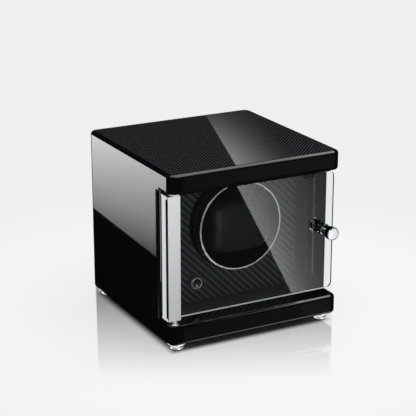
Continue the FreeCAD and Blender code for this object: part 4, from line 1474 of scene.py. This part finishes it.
@dataclass
class Studio:
    """Camera, pale surroundings, floor, lamps and cards."""

    target: Point = (-0.01974, -0.02469, 0.10904)
    eye: Point = (-0.59058, -1.09765, 0.51067)
    lens: float = 123.63
    pale: float = 0.863
    ambient: float = 0.5
    dim: float = 0.03
    overhead: float = 0.3
    tent_radius: float = 14.0
    tent_roof: Span = (0.34, 0.46)
    tent_skirt: float = -0.45
    skirt_sides: Span = (0.9, 1.4)
    skirt_dimming: float = 0.75
    heading: Span = (0.47, 0.88)
    sight: float = 1243.5
    mirror_edge: Span = (109.9, 110.9)
    mirror_end: Span = (80.0, 130.0)
    mirror_grazing: Span = (0.35, 0.6)
    floor_gloss: float = 0.65
    floor_fade: float = 0.0037
    floor_near: float = -156.0
    floor_matt: float = 0.12
    floor_end: Span = (190.0, 420.0)
    footprint: Span = (85.0, 84.5)
    footprint_middle: float = 5.25
    shade_edge: Span = (-9.5, 1.0)
    shade_tones: Span = (0.72, 0.16)

    def build(self) -> None:
        """Sets up everything that isn't part of the object."""
        self.camera()
        self.world()
        self.floor()
        self.tent()
        for lamp in LAMPS:
            lamp.build()
        self.painted_shade_card()
        for card in CARDS:
            card.build(Vector(self.eye))

    def camera(self) -> None:
        """Camera at the photograph's place."""
        data = bpy.data.cameras.new("camera")
        data.lens = self.lens
        data.sensor_width = 36.0
        data.clip_start = 0.05
        data.clip_end = 50.0
        scene = bpy.context.scene
        scene.camera = aimed(bpy.data.objects.new("camera", data), self.eye, self.target)
        scene.view_settings.view_transform = "Standard"

    def world(self) -> None:
        """Pale surroundings for sight and mirrors, dim ones for what shines behind the pane, and plain light."""
        world = bpy.data.worlds.new("studio")
        bpy.context.scene.world = world
        world.use_nodes = True
        graph = Graph(world.node_tree)
        path = graph.node("ShaderNodeLightPath")
        through = graph.out(path, "Is Transmission Ray")
        turned_back = through * (graph.out(path, "Ray Depth") - graph.out(path, "Transmission Depth") > 1.5)
        scattered = graph.out(path, "Diffuse Depth") > 0.5
        behind_pane = self.dim + (self.ambient - self.dim) * scattered
        seen = graph.out(path, "Is Camera Ray").at_least(graph.out(path, "Is Glossy Ray")).at_least(through)
        level = self.pale + (behind_pane - self.pale) * turned_back
        strength = self.ambient + (level - self.ambient) * seen
        back = graph.field("ShaderNodeBackground", {"Color": (1.0, 1.0, 1.0), "Strength": strength})
        graph.node("ShaderNodeOutputWorld", {"Surface": back})

    def floor(self) -> None:
        """Pale floor that keeps the shadow and a soft reflection near the object."""
        shell = bmesh.new()
        bmesh.ops.create_grid(shell, x_segments=2, y_segments=2, size=6.0)
        for vertex in shell.verts:
            vertex.co.z = -0.0002
        floor = Bench.from_shell(shell, "floor")
        floor.data.materials.append(painted("floor_pale", self.floor_shader))
        staged(floor, "glossy", "transmission", "shadow")

    def floor_shader(self, paint: Paint) -> Field:
        """Mirror within the object's column of sight, shade under the object, and a glow that takes over far off."""
        x, y, _ = paint.parts(paint.place)
        across, along = self.heading
        depth = x * across + y * along
        column = (x * along - y * across) / (depth * (1 / self.sight) + 1)
        mirror = ((depth - self.floor_near) * self.floor_fade).at_least(0).at_most(self.floor_gloss)
        mirror = mirror * (1 - column.size().ease(*self.mirror_edge)) * (1 - depth.ease(*self.mirror_end))
        grazing = paint.field("ShaderNodeLayerWeight", {"Blend": 0.5}, "Facing")
        mirror = mirror * grazing.ease(*self.mirror_grazing)
        half_width, half_depth = self.footprint
        outside = (x.size() - half_width).at_least((y - self.footprint_middle).size() - half_depth)
        under = 1 - outside.ease(*self.shade_edge)
        shaded = self.floor_matt + (1 - self.floor_matt) * under
        away = ((x * x + y * y) ** 0.5).ease(*self.floor_end)
        glow = paint.field("ShaderNodeEmission", {"Color": (self.pale,) * 3})
        tone = paint.mixed(under, *((tone,) * 3 for tone in self.shade_tones))
        matt = paint.field("ShaderNodeBsdfDiffuse", {"Color": tone})
        shine = paint.field("ShaderNodeBsdfGlossy", {"Color": (1.0, 1.0, 1.0), "Roughness": 0.03})
        near = paint.blend(mirror, paint.blend(shaded, glow, matt), shine)
        return paint.blend(away, near, glow)

    def tent(self) -> None:
        """Pale tent round the set that only bright metal and the floor mirror: polish beside it stays deep."""
        shell = bmesh.new()
        bmesh.ops.create_uvsphere(shell, u_segments=64, v_segments=32, radius=self.tent_radius)
        tent = Bench.from_shell(shell, "tent")
        material = painted("tent_pale", self.tent_shader)
        material.cycles.emission_sampling = "NONE"
        tent.data.materials.append(material)
        Group.named("bright").objects.link(bpy.data.objects["floor"])
        tent.light_linking.receiver_collection = Group.named("bright")
        staged(tent, "camera", "diffuse", "transmission", "shadow")

    def tent_shader(self, paint: Paint) -> Field:
        """Glow that dims overhead and low at the sides."""
        x, y, z = paint.parts(paint.place)
        rise = z * (MM / self.tent_radius)
        side = ((x * 2 + y) * (MM / self.tent_radius)).size()
        level = self.pale + (self.overhead - self.pale) * rise.ease(*self.tent_roof)
        level = level * (1 - self.skirt_dimming * (rise < self.tent_skirt) * side.ease(*self.skirt_sides))
        return paint.field("ShaderNodeEmission", {"Strength": level})

    @staticmethod
    def painted_shade_card() -> None:
        """Low dark card behind the object, which only the floor near it mirrors: painted shade in the floor's
        reflection behind the object.
        """
        shell = bmesh.new()
        shell.faces.new([shell.verts.new(corner) for corner in (
            (-0.1, 0.085, 0.008), (-0.03, 0.085, 0.008), (-0.03, 0.14, 0.008), (-0.1, 0.14, 0.008))])
        Card.hang(Bench.from_shell(shell, "card_back"))

    @staticmethod
    def light(pieces: Sequence[Piece]) -> None:
        """Sorts the pieces into the groups that lamps and cards are kept for or from."""
        for name, group in GROUPS.items():
            group.gather(name, pieces)
        for foot in Group.named("foot_").objects:
            foot.visible_glossy = False
        for link in Group.named("unfilled").collection_objects:
            link.light_linking.link_state = "EXCLUDE"


def main() -> None:
    """Builds the studio, then each sub-assembly in order."""
    logging.basicConfig(level=logging.INFO, format="%(name)s: %(message)s")
    studio = Studio()
    studio.build()
    bench = Bench(frame["record"])
    for assembly in (Controls, Cabinet, Feet, Door, Rotor, Pillow, Drive):
        assembly(bench).build()
    studio.light(list(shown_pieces()))


if __name__ == "__main__":
    main()
